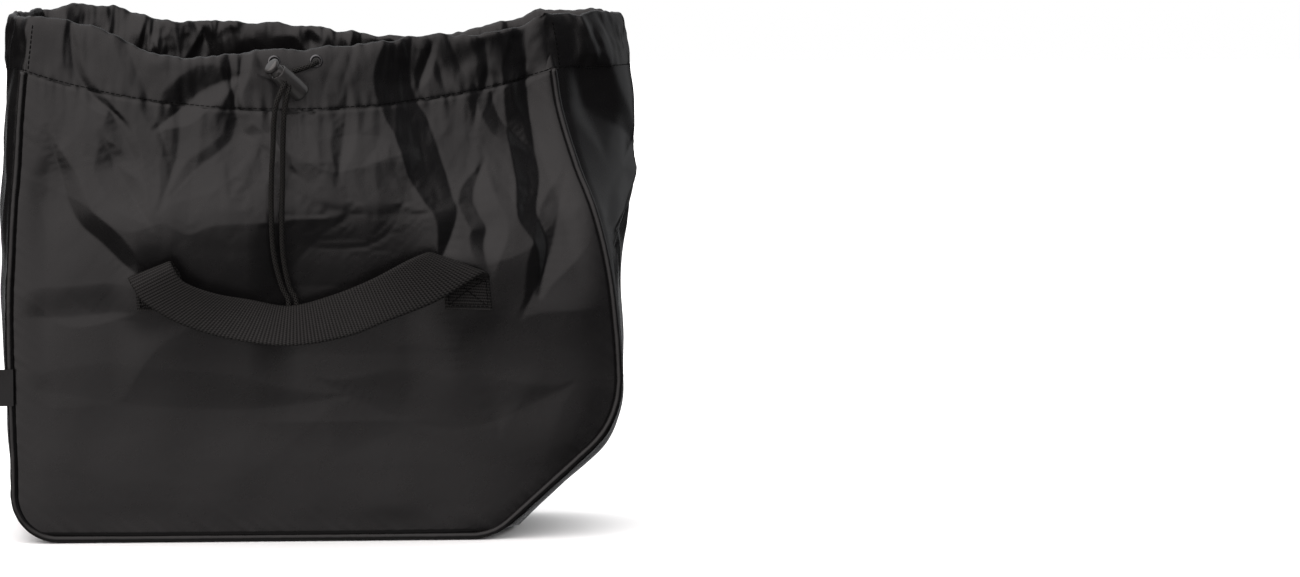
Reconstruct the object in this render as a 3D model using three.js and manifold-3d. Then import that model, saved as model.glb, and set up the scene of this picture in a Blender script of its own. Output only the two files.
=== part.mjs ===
// A soft nylon drawstring liner for a motorcycle saddlebag, standing open on its bottom.
// Millimetres, +Z up, the front faces -Y, and +X is to the right seen from the front.

import * as THREE from "three";
import { mergeVertices } from "three/addons/utils/BufferGeometryUtils.js";
import Module from "manifold-3d";

const wasm = await Module();
wasm.setup();

// Driving dimensions.
const CLOTH = 1.5; // wall of the nylon, doubled at its seams
const GAP = 0.5; // clearance between neighbouring pieces
const PIPING_RADIUS = 3;
const LEFT_CORNER_RADIUS = 38; // bottom left corner
const CHAMFER_LOW = 138; // where the bottom and the slanted corner would meet
const CHAMFER_HIGH = 93; // where the slanted corner and the right side would meet
const CHAMFER_LOW_RADIUS = 48;
const CHAMFER_HIGH_RADIUS = 75;
const CHAMFER_PUFF = 13; // how far the gusset stands out past the slanted seam
const STITCH_HEIGHT = 374; // the casing's seam at the corners of the mouth
const FRONT_SAG = 31; // how far that seam dips in the middle of the front
const REAR_SAG = 22;
const CASING_RISE = 44; // height of the casing at the sides
const CORD_RADIUS = 2.1;
const WEBBING = 1.8; // thickness of the handles
const LOCK_TRAVEL = 5; // stroke of the plunger
const SEAM_SHARE = 0.008; // share of the mouth's width that the piping takes from a panel at each end

// Rows with named columns.
function table(header, rows) {
  const names = header.split(" ");
  return rows.map((row) => Object.fromEntries(names.map((name, i) => [name, row[i]])));
}

// The bag's form by height: x of the left and right edges, half the depth at each end,
// and how far the gussets and the panels stand out between their seams.
const FORM = table("z left right leftHalf rightHalf leftPuff rightPuff front rear", [
  [0, -246, 241, 84, 84, 1, 6, 1, 1],
  [60, -246, 241, 84, 84, 3, 6, 7, 7],
  [134, -248, 241, 84, 84, 6, 5, 11, 11],
  [194, -248, 236, 84, 84, 8, 7, 15, 14],
  [230, -246, 230, 84, 82, 9, 16, 21, 17],
  [264, -244, 221, 84, 78, 11, 30, 26, 20],
  [298, -241, 208, 83, 69, 13, 47, 26, 22],
  [342, -238, 195, 83, 60, 15, 60, 25, 23],
  [374, -235, 190, 82, 58, 16, 61, 24, 22],
  [420, -229, 182, 82, 58, 20, 61, 22, 20],
]);

// Height of the casing along the front and the rear, from the left corner (0) to the right (1).
const CASING = [
  { along: 0, front: 45, rear: 42 },
  { along: 0.12, front: 51, rear: 53 },
  { along: 0.25, front: 38, rear: 48 },
  { along: 0.34, front: 41, rear: 51 },
  { along: 0.46, front: 48, rear: 51 },
  { along: 0.6, front: 50, rear: 42 },
  { along: 0.76, front: 51, rear: 36 },
  { along: 0.9, front: 42, rear: 40 },
  { along: 1, front: 43, rear: 43 },
];

// Folds of the front panel: the line each runs along as x, z, its half width, and how deep it goes in.
const FRONT_FOLDS = [
  { name: "corner", path: [[-194, 398], [-182, 360], [-150, 330]], width: 10, depth: 6 },
  { name: "corner_end", path: [[-157, 326], [-142, 303]], width: 9, depth: 3 },
  { name: "by_corner", path: [[-154, 398], [-140, 372], [-131, 347], [-125, 317]], width: 10, depth: 5 },
  { name: "left_valley", path: [[-206, 306], [-184, 256], [-146, 221]], width: 20, depth: 9 },
  { name: "left_short", path: [[-160, 300], [-138, 270]], width: 11, depth: 3 },
  { name: "upright", path: [[-111, 345], [-116, 288]], width: 12, depth: 4 },
  { name: "vee_left", path: [[-73, 340], [-79, 317], [-105, 288]], width: 12, depth: 4 },
  { name: "vee_right", path: [[-64, 326], [-39, 310]], width: 12, depth: 4 },
  { name: "drape", path: [[-17, 302], [6, 293], [51, 306]], width: 14, depth: 4 },
  { name: "wide_valley", path: [[60, 396], [62, 365], [79, 309], [104, 249]], width: 18, depth: 12 },
  { name: "wide_ridge", path: [[34, 340], [54, 306], [92, 244]], width: 14, depth: -4 },
  { name: "right_valley", path: [[154, 402], [163, 360], [163, 310], [176, 226]], width: 14, depth: 9 },
  { name: "right_short", path: [[125, 282], [134, 248], [131, 222]], width: 11, depth: 4 },
  { name: "under_patch", path: [[124, 178], [136, 140]], width: 14, depth: 4 },
  { name: "right_low", path: [[219, 171], [191, 123]], width: 14, depth: 4 },
  { name: "left_low", path: [[-229, 194], [-148, 182]], width: 14, depth: 5 },
  { name: "low_vee", path: [[62, 104], [90, 86], [118, 104]], width: 13, depth: 4 },
  { name: "low_left", path: [[-220, 80], [-130, 96]], width: 22, depth: 4 },
];

// Folds of the rear panel, in the same columns.
const REAR_FOLDS = [
  { name: "left_valley", path: [[-150, 396], [-140, 330], [-110, 262]], width: 18, depth: 9 },
  { name: "middle", path: [[-30, 390], [-24, 320]], width: 15, depth: 6 },
  { name: "right_valley", path: [[90, 394], [96, 320], [120, 250]], width: 18, depth: 10 },
  { name: "low", path: [[-180, 120], [-60, 100], [60, 112]], width: 24, depth: 5 },
];

// The sewn ends of the handles, and how far round them the cloth stays flat.
const PATCHES = [
  { end: "left", x: -126, z: 198, reach: 30 },
  { end: "right", x: 117, z: 200, reach: 30 },
];

// Gathers of the casing on each side of the mouth: how many, and how far they stand in and out.
const GATHERS = [
  { side: "front", count: 7, size: 3 },
  { side: "right", count: 2, size: 2 },
  { side: "rear", count: 5.5, size: 5 },
  { side: "left", count: 2, size: 2 },
];
const STATIONS = [28, 9, 22, 7]; // cross-sections of the casing on each side

// Outside of the casing and the tunnel in it: share of its height, and distance out from its middle.
const CASING_OUTSIDE = [
  [0, 0.8], [0.42, 2.2], [0.72, 4.5], [0.9, 4.3], [1, 1.7],
  [1, -1.7], [0.9, -4.3], [0.72, -4.5], [0.42, -2.2], [0, -0.8],
];
const CASING_TUNNEL = [[0.34, 0.6], [0.72, 3], [0.9, 2.8], [0.9, -2.8], [0.72, -3], [0.34, -0.6]];
const CORD_LEVEL = 0.79; // share of the casing's height at which the cord runs

// The handle from its left end to its right: x, z and distance from the panel of its two edges,
// the inner edge being the upper one where the strap hangs.
const HANDLE = [
  { name: "left_foot", innerX: -107, innerZ: 186, innerOut: 0.7, outerX: -144, outerZ: 186, outerOut: 0.7 },
  { name: "left_seam", innerX: -109, innerZ: 212, innerOut: 0.8, outerX: -146, outerZ: 207, outerOut: 0.8 },
  { name: "left_rise", innerX: -114, innerZ: 223, innerOut: 5, outerX: -150, outerZ: 211, outerOut: 5 },
  { name: "left_crest", innerX: -117, innerZ: 227, innerOut: 11, outerX: -151, outerZ: 213, outerOut: 11 },
  { name: "left_turn", innerX: -115, innerZ: 222, innerOut: 17, outerX: -147, outerZ: 206, outerOut: 17 },
  { name: "left_fall", innerX: -106, innerZ: 210, innerOut: 18, outerX: -138, outerZ: 194, outerOut: 20 },
  { name: "left_hang", innerX: -83, innerZ: 201, innerOut: 17, outerX: -114, outerZ: 179, outerOut: 22 },
  { name: "left_middle", innerX: -56, innerZ: 196, innerOut: 15, outerX: -78, outerZ: 167, outerOut: 26 },
  { name: "middle", innerX: -24, innerZ: 191, innerOut: 14, outerX: -26, outerZ: 161, outerOut: 36 },
  { name: "right_middle", innerX: 9, innerZ: 199, innerOut: 15, outerX: 20, outerZ: 167, outerOut: 31 },
  { name: "right_hang", innerX: 39, innerZ: 211, innerOut: 17, outerX: 53, outerZ: 179, outerOut: 28 },
  { name: "right_fall", innerX: 64, innerZ: 224, innerOut: 18, outerX: 90, outerZ: 193, outerOut: 22 },
  { name: "right_turn", innerX: 79, innerZ: 231, innerOut: 17, outerX: 116, outerZ: 208, outerOut: 17 },
  { name: "right_crest", innerX: 87, innerZ: 233, innerOut: 11, outerX: 130, outerZ: 216, outerOut: 11 },
  { name: "right_rise", innerX: 92, innerZ: 226, innerOut: 5, outerX: 134, outerZ: 213, outerOut: 5 },
  { name: "right_seam", innerX: 97, innerZ: 214, innerOut: 0.8, outerX: 134, outerZ: 209, outerOut: 0.8 },
  { name: "right_foot", innerX: 99, innerZ: 186, innerOut: 0.7, outerX: 136, outerZ: 185, outerOut: 0.7 },
];

// The eyelets, the cord lock and the free ends of the drawcord.
const EYELET_X = { left: -35, right: -2 };
const EYELET_BORE = 3.2;
const EYELET_FLANGE = 5.4;
const LOCK_HOLE = new THREE.Vector3(-25, -124, 369); // middle of the lock's cord hole
const LOCK_HOLE_HEIGHT = 18; // that hole above the barrel's closed end
const LOCK_DROP = THREE.MathUtils.degToRad(30); // how far the hole points down towards the front
const LOCK_AXIS = new THREE.Vector2(-0.73, 0.685); // from its closed end to the plunger, from the front
const STRAND_LEFT = [
  [-35, -95.5, 382], [-35, -103, 381.7], [-32.5, -110.5, 379.5], [-27.5, -116.8, 376],
  [-26.5, -125, 371], [-26.8, -132.5, 366.3], [-29.5, -137.5, 360.5], [-33.5, -138.5, 350],
  [-35.4, -135.5, 335], [-36, -131.5, 318], [-37.5, -125, 292], [-37.8, -118.5, 262],
  [-36.2, -112.5, 232], [-30.4, -107.8, 207], [-25.4, -106.6, 196], [-24.7, -106.5, 190.2],
];
const STRAND_RIGHT = [
  [-2, -95.5, 382], [-2, -103, 381.7], [-5.5, -109, 380], [-14, -111.5, 377], [-21, -112, 374.4],
  [-23.3, -117, 371], [-23.4, -124, 367.3], [-23.6, -132, 362.6], [-25.2, -136, 356], [-27.2, -135.5, 342],
  [-28.2, -131.5, 322], [-28.8, -125, 292], [-29.6, -117.5, 258], [-28.8, -112, 230], [-24.3, -107.6, 206],
  [-19.4, -106.6, 196], [-18.6, -106.5, 190.2],
];
const KNOT = { at: new THREE.Vector3(-21.6, -106.5, 183.8), width: 15, depth: 10, height: 12 };

// The tab in the left seam.
const TAB = { left: -256, right: -242.5, low: 110, high: 139, thick: 1.4 };

// Colours and surfaces.
const NYLON = { color: 0x2f2e30, roughness: 0.55, metalness: 0 };
const WEB = { color: 0x282828, roughness: 0.7, metalness: 0 };
const CORD = { color: 0x1d1d1e, roughness: 0.75, metalness: 0 };
const PLASTIC = { color: 0x3c3a3a, roughness: 0.45, metalness: 0 };
const BLACK_METAL = { color: 0x1a1a1b, roughness: 0.25, metalness: 0.9 };

const { lerp, clamp, smoothstep } = THREE.MathUtils;

// A smooth value from a table's column, at a place between its rows.
function read(table, by, column, place) {
  const last = table.length - 1;
  let i = 0;
  while (i < last - 1 && table[i + 1][by] < place) i += 1;
  const slope = (row) => {
    const before = table[Math.max(row - 1, 0)];
    const after = table[Math.min(row + 1, last)];
    return (after[column] - before[column]) / (after[by] - before[by]);
  };
  const span = table[i + 1][by] - table[i][by];
  const t = clamp((place - table[i][by]) / span, 0, 1);
  const rise = table[i + 1][column] - table[i][column];
  const start = slope(i) * span;
  const end = slope(i + 1) * span;
  return table[i][column] + t * (start + t * (3 * rise - 2 * start - end + t * (start + end - 2 * rise)));
}

const form = (column, z) => read(FORM, "z", column, z);

// The slanted corner: its angle, and the centres of the arcs at its two ends.
const CHAMFER_ANGLE = Math.atan2(CHAMFER_HIGH, form("right", 0) - CHAMFER_LOW);
const LOW_ARC = {
  x: CHAMFER_LOW - CHAMFER_LOW_RADIUS * Math.tan(CHAMFER_ANGLE / 2),
  z: CHAMFER_LOW_RADIUS,
};
const HIGH_ARC = {
  x: form("right", 0) - CHAMFER_HIGH_RADIUS,
  z: CHAMFER_HIGH + CHAMFER_HIGH_RADIUS * Math.tan((Math.PI / 2 - CHAMFER_ANGLE) / 2),
};
const LEFT_ARC = { x: form("left", 0) + LEFT_CORNER_RADIUS, z: LEFT_CORNER_RADIUS };

// x of the left edge at a height, moved inwards by inset.
function leftEdge(z, inset) {
  if (z >= LEFT_ARC.z) return form("left", z) + inset;
  const radius = LEFT_CORNER_RADIUS - inset;
  const drop = Math.min(LEFT_ARC.z - z, radius);
  return form("left", LEFT_ARC.z) + LEFT_CORNER_RADIUS - Math.sqrt(radius ** 2 - drop ** 2);
}

// x of the right edge at a height: side, upper arc, slanted corner, lower arc.
function rightEdge(z, inset) {
  if (z >= HIGH_ARC.z) return form("right", z) - inset;
  const highRadius = CHAMFER_HIGH_RADIUS - inset;
  if (z >= HIGH_ARC.z - highRadius * Math.cos(CHAMFER_ANGLE)) {
    return HIGH_ARC.x + Math.sqrt(highRadius ** 2 - (HIGH_ARC.z - z) ** 2);
  }
  const lowRadius = CHAMFER_LOW_RADIUS - inset;
  if (z <= LOW_ARC.z - lowRadius * Math.cos(CHAMFER_ANGLE)) {
    const drop = Math.min(LOW_ARC.z - z, lowRadius);
    return LOW_ARC.x + Math.sqrt(lowRadius ** 2 - drop ** 2);
  }
  return CHAMFER_LOW + z / Math.tan(CHAMFER_ANGLE) - inset / Math.sin(CHAMFER_ANGLE);
}

// How deep the folds press a panel in at x, z.
function foldDepth(folds, x, z) {
  let depth = 0;
  const at = new THREE.Vector2(x, z);
  for (const fold of folds) {
    const points = fold.path.map(([px, pz]) => new THREE.Vector2(px, pz));
    let nearest = Infinity;
    for (let i = 0; i < points.length - 1; i += 1) {
      const run = points[i + 1].clone().sub(points[i]);
      const share = clamp(at.clone().sub(points[i]).dot(run) / run.lengthSq(), 0, 1);
      nearest = Math.min(nearest, at.distanceTo(run.multiplyScalar(share).add(points[i])));
    }
    depth += fold.depth * Math.exp(-((nearest / fold.width) ** 2));
  }
  return depth;
}

// How much of the folds is left at x, z: none where the ends of a handle are sewn down flat.
function loose(x, z) {
  const near = PATCHES.map((patch) => Math.hypot(x - patch.x, z - patch.z) / patch.reach);
  return 1 - Math.exp(-(Math.min(...near) ** 4));
}

// Fullness of a panel between its two side seams.
const belly = (along) => 1 - Math.abs(2 * along - 1) ** 2.4;
// Fullness of a gusset between its front and rear seams.
const bulge = (across) => 1 - Math.abs(2 * across - 1) ** 1.7;
// Dip of the casing's seam along a panel.
const dip = (along) => Math.max(1 - (2 * along - 1) ** 2, 0) ** 0.9;

// A point on the front (side -1) or the rear (side 1), by its share of the width and its height.
function panelPoint(side, along, z, inset) {
  const x = lerp(leftEdge(z, inset), rightEdge(z, inset), along);
  const half = lerp(form("leftHalf", z), form("rightHalf", z), along);
  const full = form(side < 0 ? "front" : "rear", z) * belly(along);
  const pressed = foldDepth(side < 0 ? FRONT_FOLDS : REAR_FOLDS, x, z) * loose(x, z);
  const seams = smoothstep(along, 0, 0.06) * smoothstep(1 - along, 0, 0.06) * smoothstep(z, 5, 30);
  return new THREE.Vector3(x, side * (half + full - pressed * seams), z);
}

// A point at x, z, set out from the panel as it would be without folds.
function aboveSmooth(side, x, z, out) {
  const along = (x - leftEdge(z, 0)) / (rightEdge(z, 0) - leftEdge(z, 0));
  const half = lerp(form("leftHalf", z), form("rightHalf", z), along);
  const full = form(side < 0 ? "front" : "rear", z) * belly(along);
  return new THREE.Vector3(x, side * (half + full + out), z);
}

const stitchHeight = (side, along) => STITCH_HEIGHT - (side < 0 ? FRONT_SAG : REAR_SAG) * dip(along);

// A closed solid from a sheet of points: rows by columns on the outside, and the same points moved in.
function sheetSolid(columns, rows, thickness, pointAt) {
  const positions = [];
  const outside = (i, j) => pointAt(i / columns, j / rows);
  const step = 0.002;
  for (let j = 0; j <= rows; j += 1) {
    for (let i = 0; i <= columns; i += 1) {
      const [u, v] = [i / columns, j / rows];
      const across = pointAt(Math.min(u + step, 1), v).sub(pointAt(Math.max(u - step, 0), v));
      const up = pointAt(u, Math.min(v + step, 1)).sub(pointAt(u, Math.max(v - step, 0)));
      const inwards = up.cross(across).setLength(thickness);
      const point = outside(i, j);
      positions.push(point, point.clone().add(inwards));
    }
  }
  const index = [];
  const at = (i, j, inner) => 2 * (j * (columns + 1) + i) + inner;
  const quad = (a, b, c, d) => index.push(a, b, c, a, c, d);
  for (let j = 0; j < rows; j += 1) {
    for (let i = 0; i < columns; i += 1) {
      quad(at(i, j, 0), at(i + 1, j, 0), at(i + 1, j + 1, 0), at(i, j + 1, 0));
      quad(at(i, j, 1), at(i, j + 1, 1), at(i + 1, j + 1, 1), at(i + 1, j, 1));
    }
  }
  for (let i = 0; i < columns; i += 1) {
    quad(at(i, 0, 1), at(i + 1, 0, 1), at(i + 1, 0, 0), at(i, 0, 0));
    quad(at(i, rows, 0), at(i + 1, rows, 0), at(i + 1, rows, 1), at(i, rows, 1));
  }
  for (let j = 0; j < rows; j += 1) {
    quad(at(0, j, 0), at(0, j + 1, 0), at(0, j + 1, 1), at(0, j, 1));
    quad(at(columns, j, 1), at(columns, j + 1, 1), at(columns, j + 1, 0), at(columns, j, 0));
  }
  return new THREE.BufferGeometry().setFromPoints(positions).setIndex(index);
}

// Rings of points joined one to the next: closed on itself, or with flat ends.
function sweep(rings, closed) {
  const size = rings[0].length;
  const index = [];
  const at = (i, k) => (i % rings.length) * size + (k % size);
  for (let i = 0; i < rings.length - (closed ? 0 : 1); i += 1) {
    for (let k = 0; k < size; k += 1) {
      index.push(at(i, k), at(i + 1, k), at(i + 1, k + 1), at(i, k), at(i + 1, k + 1), at(i, k + 1));
    }
  }
  if (!closed) {
    const end = rings.length - 1;
    for (let k = 1; k < size - 1; k += 1) {
      index.push(at(0, 0), at(0, k), at(0, k + 1), at(end, 0), at(end, k + 1), at(end, k));
    }
  }
  return new THREE.BufferGeometry().setFromPoints(rings.flat()).setIndex(index);
}

// A tube along a smooth curve through points.
function tube(points, radius, sides, steps) {
  const section = new THREE.Shape();
  for (let i = 0; i < sides; i += 1) {
    const turn = (2 * Math.PI * i) / sides;
    section[i ? "lineTo" : "moveTo"](radius * Math.cos(turn), radius * Math.sin(turn));
  }
  section.closePath();
  const extrudePath = new THREE.CatmullRomCurve3(points, false, "centripetal");
  return new THREE.ExtrudeGeometry(section, { steps, extrudePath, bevelEnabled: false });
}

// Boolean solids and back.
function solidOf(geometry) {
  const plain = geometry.clone();
  plain.deleteAttribute("normal");
  plain.deleteAttribute("uv");
  const merged = mergeVertices(plain, 1e-4);
  const vertProperties = merged.attributes.position.array;
  const triVerts = new Uint32Array(merged.index.array);
  return new wasm.Manifold(new wasm.Mesh({ numProp: 3, vertProperties, triVerts }));
}

function cut(geometry, tools) {
  let solid = solidOf(geometry);
  for (const tool of tools) solid = solid.subtract(solidOf(tool));
  const mesh = solid.getMesh();
  const position = new THREE.BufferAttribute(new Float32Array(mesh.vertProperties), 3);
  return new THREE.BufferGeometry().setAttribute("position", position).setIndex([...mesh.triVerts]);
}

function piece(name, geometry, look) {
  const mesh = new THREE.Mesh(geometry, new THREE.MeshStandardMaterial(look));
  mesh.name = name;
  return mesh;
}

// The front and rear panels, from just above the bottom piping to the casing's seam.
function panel(side, columns, rows) {
  const inset = 2 * PIPING_RADIUS + 1.6 * GAP;
  return sheetSolid(columns, rows, CLOTH, (u, v) => {
    const along = side < 0 ? u : 1 - u;
    const top = stitchHeight(side, lerp(SEAM_SHARE, 1 - SEAM_SHARE, along)) - 2 * GAP;
    return panelPoint(side, along, lerp(inset, top, v ** 1.5), inset);
  });
}

// The seam's line seen from the front: places with their outward direction and the gusset's puff there.
function seamLine(inset) {
  const places = [];
  const add = (x, z, outX, outZ, puff) => places.push({ x, z, outX, outZ, puff });
  const arc = (centre, radius, from, to, steps, puffAt) => {
    for (let i = 1; i < steps; i += 1) {
      const turn = lerp(from, to, i / steps);
      const [c, s] = [Math.cos(turn), Math.sin(turn)];
      add(centre.x + radius * c, centre.z + radius * s, c, s, puffAt(i / steps));
    }
  };
  const sideSteps = 12;
  for (let i = 0; i <= sideSteps; i += 1) {
    const z = lerp(STITCH_HEIGHT - 3 * GAP, LEFT_ARC.z, i / sideSteps);
    add(leftEdge(z, inset), z, -1, 0, form("leftPuff", z));
  }
  const leftPuff = form("leftPuff", LEFT_ARC.z);
  const leftCentre = { x: leftEdge(LEFT_ARC.z, 0) + LEFT_CORNER_RADIUS, z: LEFT_ARC.z };
  const down = -Math.PI / 2;
  arc(leftCentre, LEFT_CORNER_RADIUS - inset, -Math.PI, down, 5, (t) => leftPuff * (1 - t) ** 3);
  const bottomSteps = 8;
  for (let i = 0; i <= bottomSteps; i += 1) {
    add(lerp(leftCentre.x, LOW_ARC.x, i / bottomSteps), inset, 0, -1, 0);
  }
  const slant = down + CHAMFER_ANGLE;
  arc(LOW_ARC, CHAMFER_LOW_RADIUS - inset, down, slant, 4, (t) => CHAMFER_PUFF * t ** 3);
  const chamferSteps = 4;
  const [outX, outZ] = [Math.cos(slant), Math.sin(slant)];
  for (let i = 0; i <= chamferSteps; i += 1) {
    const t = i / chamferSteps;
    const lowX = LOW_ARC.x + (CHAMFER_LOW_RADIUS - inset) * outX;
    const lowZ = LOW_ARC.z + (CHAMFER_LOW_RADIUS - inset) * outZ;
    const highX = HIGH_ARC.x + (CHAMFER_HIGH_RADIUS - inset) * outX;
    const highZ = HIGH_ARC.z + (CHAMFER_HIGH_RADIUS - inset) * outZ;
    add(lerp(lowX, highX, t), lerp(lowZ, highZ, t), outX, outZ, CHAMFER_PUFF);
  }
  const rightPuff = form("rightPuff", HIGH_ARC.z);
  const easing = (t) => lerp(CHAMFER_PUFF, rightPuff, smoothstep(t, 0, 1));
  arc(HIGH_ARC, CHAMFER_HIGH_RADIUS - inset, slant, 0, 5, easing);
  for (let i = 0; i <= sideSteps; i += 1) {
    const z = lerp(HIGH_ARC.z, STITCH_HEIGHT - 3 * GAP, i / sideSteps);
    add(rightEdge(z, inset), z, 1, 0, form("rightPuff", z));
  }
  return places;
}

// Half the bag's depth at a place on the seam.
const halfDepth = (place) => form(place.x < 0 ? "leftHalf" : "rightHalf", place.z);

// A place between two neighbours on the seam.
function seamAt(line, share) {
  const i = Math.min(Math.floor(share * (line.length - 1)), line.length - 2);
  const t = share * (line.length - 1) - i;
  const [a, b] = [line[i], line[i + 1]];
  return Object.fromEntries(Object.keys(a).map((key) => [key, lerp(a[key], b[key], t)]));
}

// The strip that joins the two panels down the left side, under the bottom and up the right side.
function gusset(across) {
  const line = seamLine(0);
  return sheetSolid(across, line.length - 1, CLOTH, (u, v) => {
    const place = seamAt(line, v);
    const reach = halfDepth(place) - PIPING_RADIUS + GAP;
    const out = place.puff * bulge(u);
    const y = lerp(-reach, reach, u);
    return new THREE.Vector3(place.x + out * place.outX, y, place.z + out * place.outZ);
  });
}

// The corded edge along a seam.
function piping(side) {
  const sides = 6;
  const rings = seamLine(PIPING_RADIUS).map((place) => Array.from({ length: sides }, (_, i) => {
    const turn = (2 * Math.PI * (i + 0.5)) / sides;
    const out = PIPING_RADIUS * Math.cos(turn);
    const y = side * halfDepth(place) - PIPING_RADIUS * Math.sin(turn);
    return new THREE.Vector3(place.x + out * place.outX, y, place.z + out * place.outZ);
  }));
  return sweep(rings, false);
}

// The mouth goes round from the front left corner: front 0 to 1, right to 2, rear to 3, left to 4.
function mouthPoint(round, height) {
  const side = Math.floor(round) % 4;
  const t = round - Math.floor(round);
  if (side % 2 === 0) {
    const facing = side === 0 ? -1 : 1;
    const along = side === 0 ? t : 1 - t;
    const rise = read(CASING, "along", side === 0 ? "front" : "rear", along);
    return panelPoint(facing, along, stitchHeight(facing, along) + height * rise, PIPING_RADIUS);
  }
  const z = STITCH_HEIGHT + height * CASING_RISE;
  const right = side === 1;
  const half = form(right ? "rightHalf" : "leftHalf", z);
  const out = form(right ? "rightPuff" : "leftPuff", z) * bulge(t);
  const x = right ? rightEdge(z, PIPING_RADIUS) + out : leftEdge(z, PIPING_RADIUS) - out;
  return new THREE.Vector3(x, lerp(-half, half, right ? t : 1 - t), z);
}

// Direction out of the bag at a place round the mouth.
function mouthOut(round) {
  const before = mouthPoint((round + 3.985) % 4, 0.5);
  const after = mouthPoint((round + 0.015) % 4, 0.5);
  const out = after.sub(before).cross(new THREE.Vector3(0, 0, 1));
  out.z = 0;
  return out.normalize();
}

// How far the casing's gathers push it out, with a flat place round the eyelets.
function gather(round, height) {
  const side = Math.floor(round) % 4;
  const t = round - Math.floor(round);
  const { count, size } = GATHERS[side];
  const middle = side === 0 ? smoothstep(Math.abs(t - 0.475), 0.07, 0.14) : 1;
  const ends = smoothstep(t, 0, 0.08) * smoothstep(1 - t, 0, 0.08);
  return size * middle * ends * (0.15 + 0.85 * height) * Math.sin(2 * Math.PI * count * t);
}

// A place in the casing's cross-section: share of its height, and distance out from its middle.
function casingPoint(round, [height, out]) {
  const distance = out + gather(round, height);
  return mouthPoint(round, height).addScaledVector(mouthOut(round), distance);
}

// Rings of the casing's cross-section at places round the mouth.
function casingRings(rounds, section) {
  return rounds.map((round) => section.map((place) => casingPoint(round, place)));
}

const MOUTH = STATIONS.flatMap((count, side) => Array.from({ length: count }, (_, i) => side + i / count));

// Share of the front's width at an x on the casing.
function mouthShare(x) {
  const z = STITCH_HEIGHT + 8;
  return (x - leftEdge(z, PIPING_RADIUS)) / (rightEdge(z, PIPING_RADIUS) - leftEdge(z, PIPING_RADIUS));
}

// A geometry made along Y, set on the casing's outer face at x and turned to point out of it.
function onCasing(geometry, x) {
  const along = mouthShare(x);
  const turn = new THREE.Quaternion().setFromUnitVectors(new THREE.Vector3(0, 1, 0), mouthOut(along));
  const place = casingPoint(along, [CORD_LEVEL, CASING_OUTSIDE[2][1] + GAP]);
  return geometry.applyQuaternion(turn).translate(place.x, place.y, place.z);
}

// The turned hem round the mouth, hollow for the drawcord and open at the eyelets.
function casing() {
  const outside = sweep(casingRings(MOUTH, CASING_OUTSIDE), true);
  const tunnel = sweep(casingRings(MOUTH, CASING_TUNNEL), true);
  const radius = EYELET_BORE + 1.1;
  const hole = (x) => onCasing(new THREE.CylinderGeometry(radius, radius, 7, 12), x);
  return cut(outside, [tunnel, hole(EYELET_X.left), hole(EYELET_X.right)]);
}

// A rolled ring on the casing's face, with its neck through the cloth.
function eyelet(x) {
  const neck = EYELET_BORE + 0.6;
  return onCasing(lathe([
    [EYELET_BORE, -2], [neck, -2], [neck, 0], [EYELET_FLANGE, 0], [EYELET_FLANGE, 0.6],
    [EYELET_FLANGE - 0.8, 1.1], [neck, 1.1], [EYELET_BORE, 0.5], [EYELET_BORE, -2],
  ], 12), x);
}

// The drawcord inside the casing, from beside one eyelet round the mouth to beside the other.
function cordLoop() {
  const sides = 8;
  const section = Array.from({ length: sides }, (_, i) => {
    const turn = (2 * Math.PI * i) / sides;
    return [CORD_LEVEL + (CORD_RADIUS / CASING_RISE) * Math.sin(turn), CORD_RADIUS * Math.cos(turn)];
  });
  const rounds = MOUTH.filter((round) => round > mouthShare(EYELET_X.right + 6));
  const before = MOUTH.filter((round) => round < mouthShare(EYELET_X.left - 6));
  return sweep(casingRings([...rounds, ...before.map((round) => round + 4)], section), false);
}

const points = (list) => list.map((place) => new THREE.Vector3(...place));

// A webbing handle: flat on the panel at both ends, folded over and hanging between them.
function handle(side) {
  const rows = HANDLE.map((row, i) => ({ ...row, at: i }));
  return sheetSolid(2, 32, WEBBING, (u, v) => {
    const at = v * (HANDLE.length - 1);
    const across = side < 0 ? u : 1 - u;
    const place = (name) => {
      const [inner, outer] = [`inner${name}`, `outer${name}`].map((column) => read(rows, "at", column, at));
      return lerp(inner, outer, across);
    };
    return aboveSmooth(side, place("X"), place("Z"), place("Out"));
  });
}

// A long hole with round ends, cut through the lock along its local Z.
function slot(width, low, high) {
  const shape = new THREE.Shape();
  const radius = width / 2;
  shape.absarc(0, low + radius, radius, Math.PI, 2 * Math.PI, false);
  shape.absarc(0, high - radius, radius, 0, Math.PI, false);
  shape.closePath();
  const options = { depth: 40, bevelEnabled: false, curveSegments: 6 };
  return new THREE.ExtrudeGeometry(shape, options).translate(0, 0, -20);
}

function lathe(profile, sides) {
  return new THREE.LatheGeometry(profile.map(([radius, y]) => new THREE.Vector2(radius, y)), sides);
}

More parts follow.
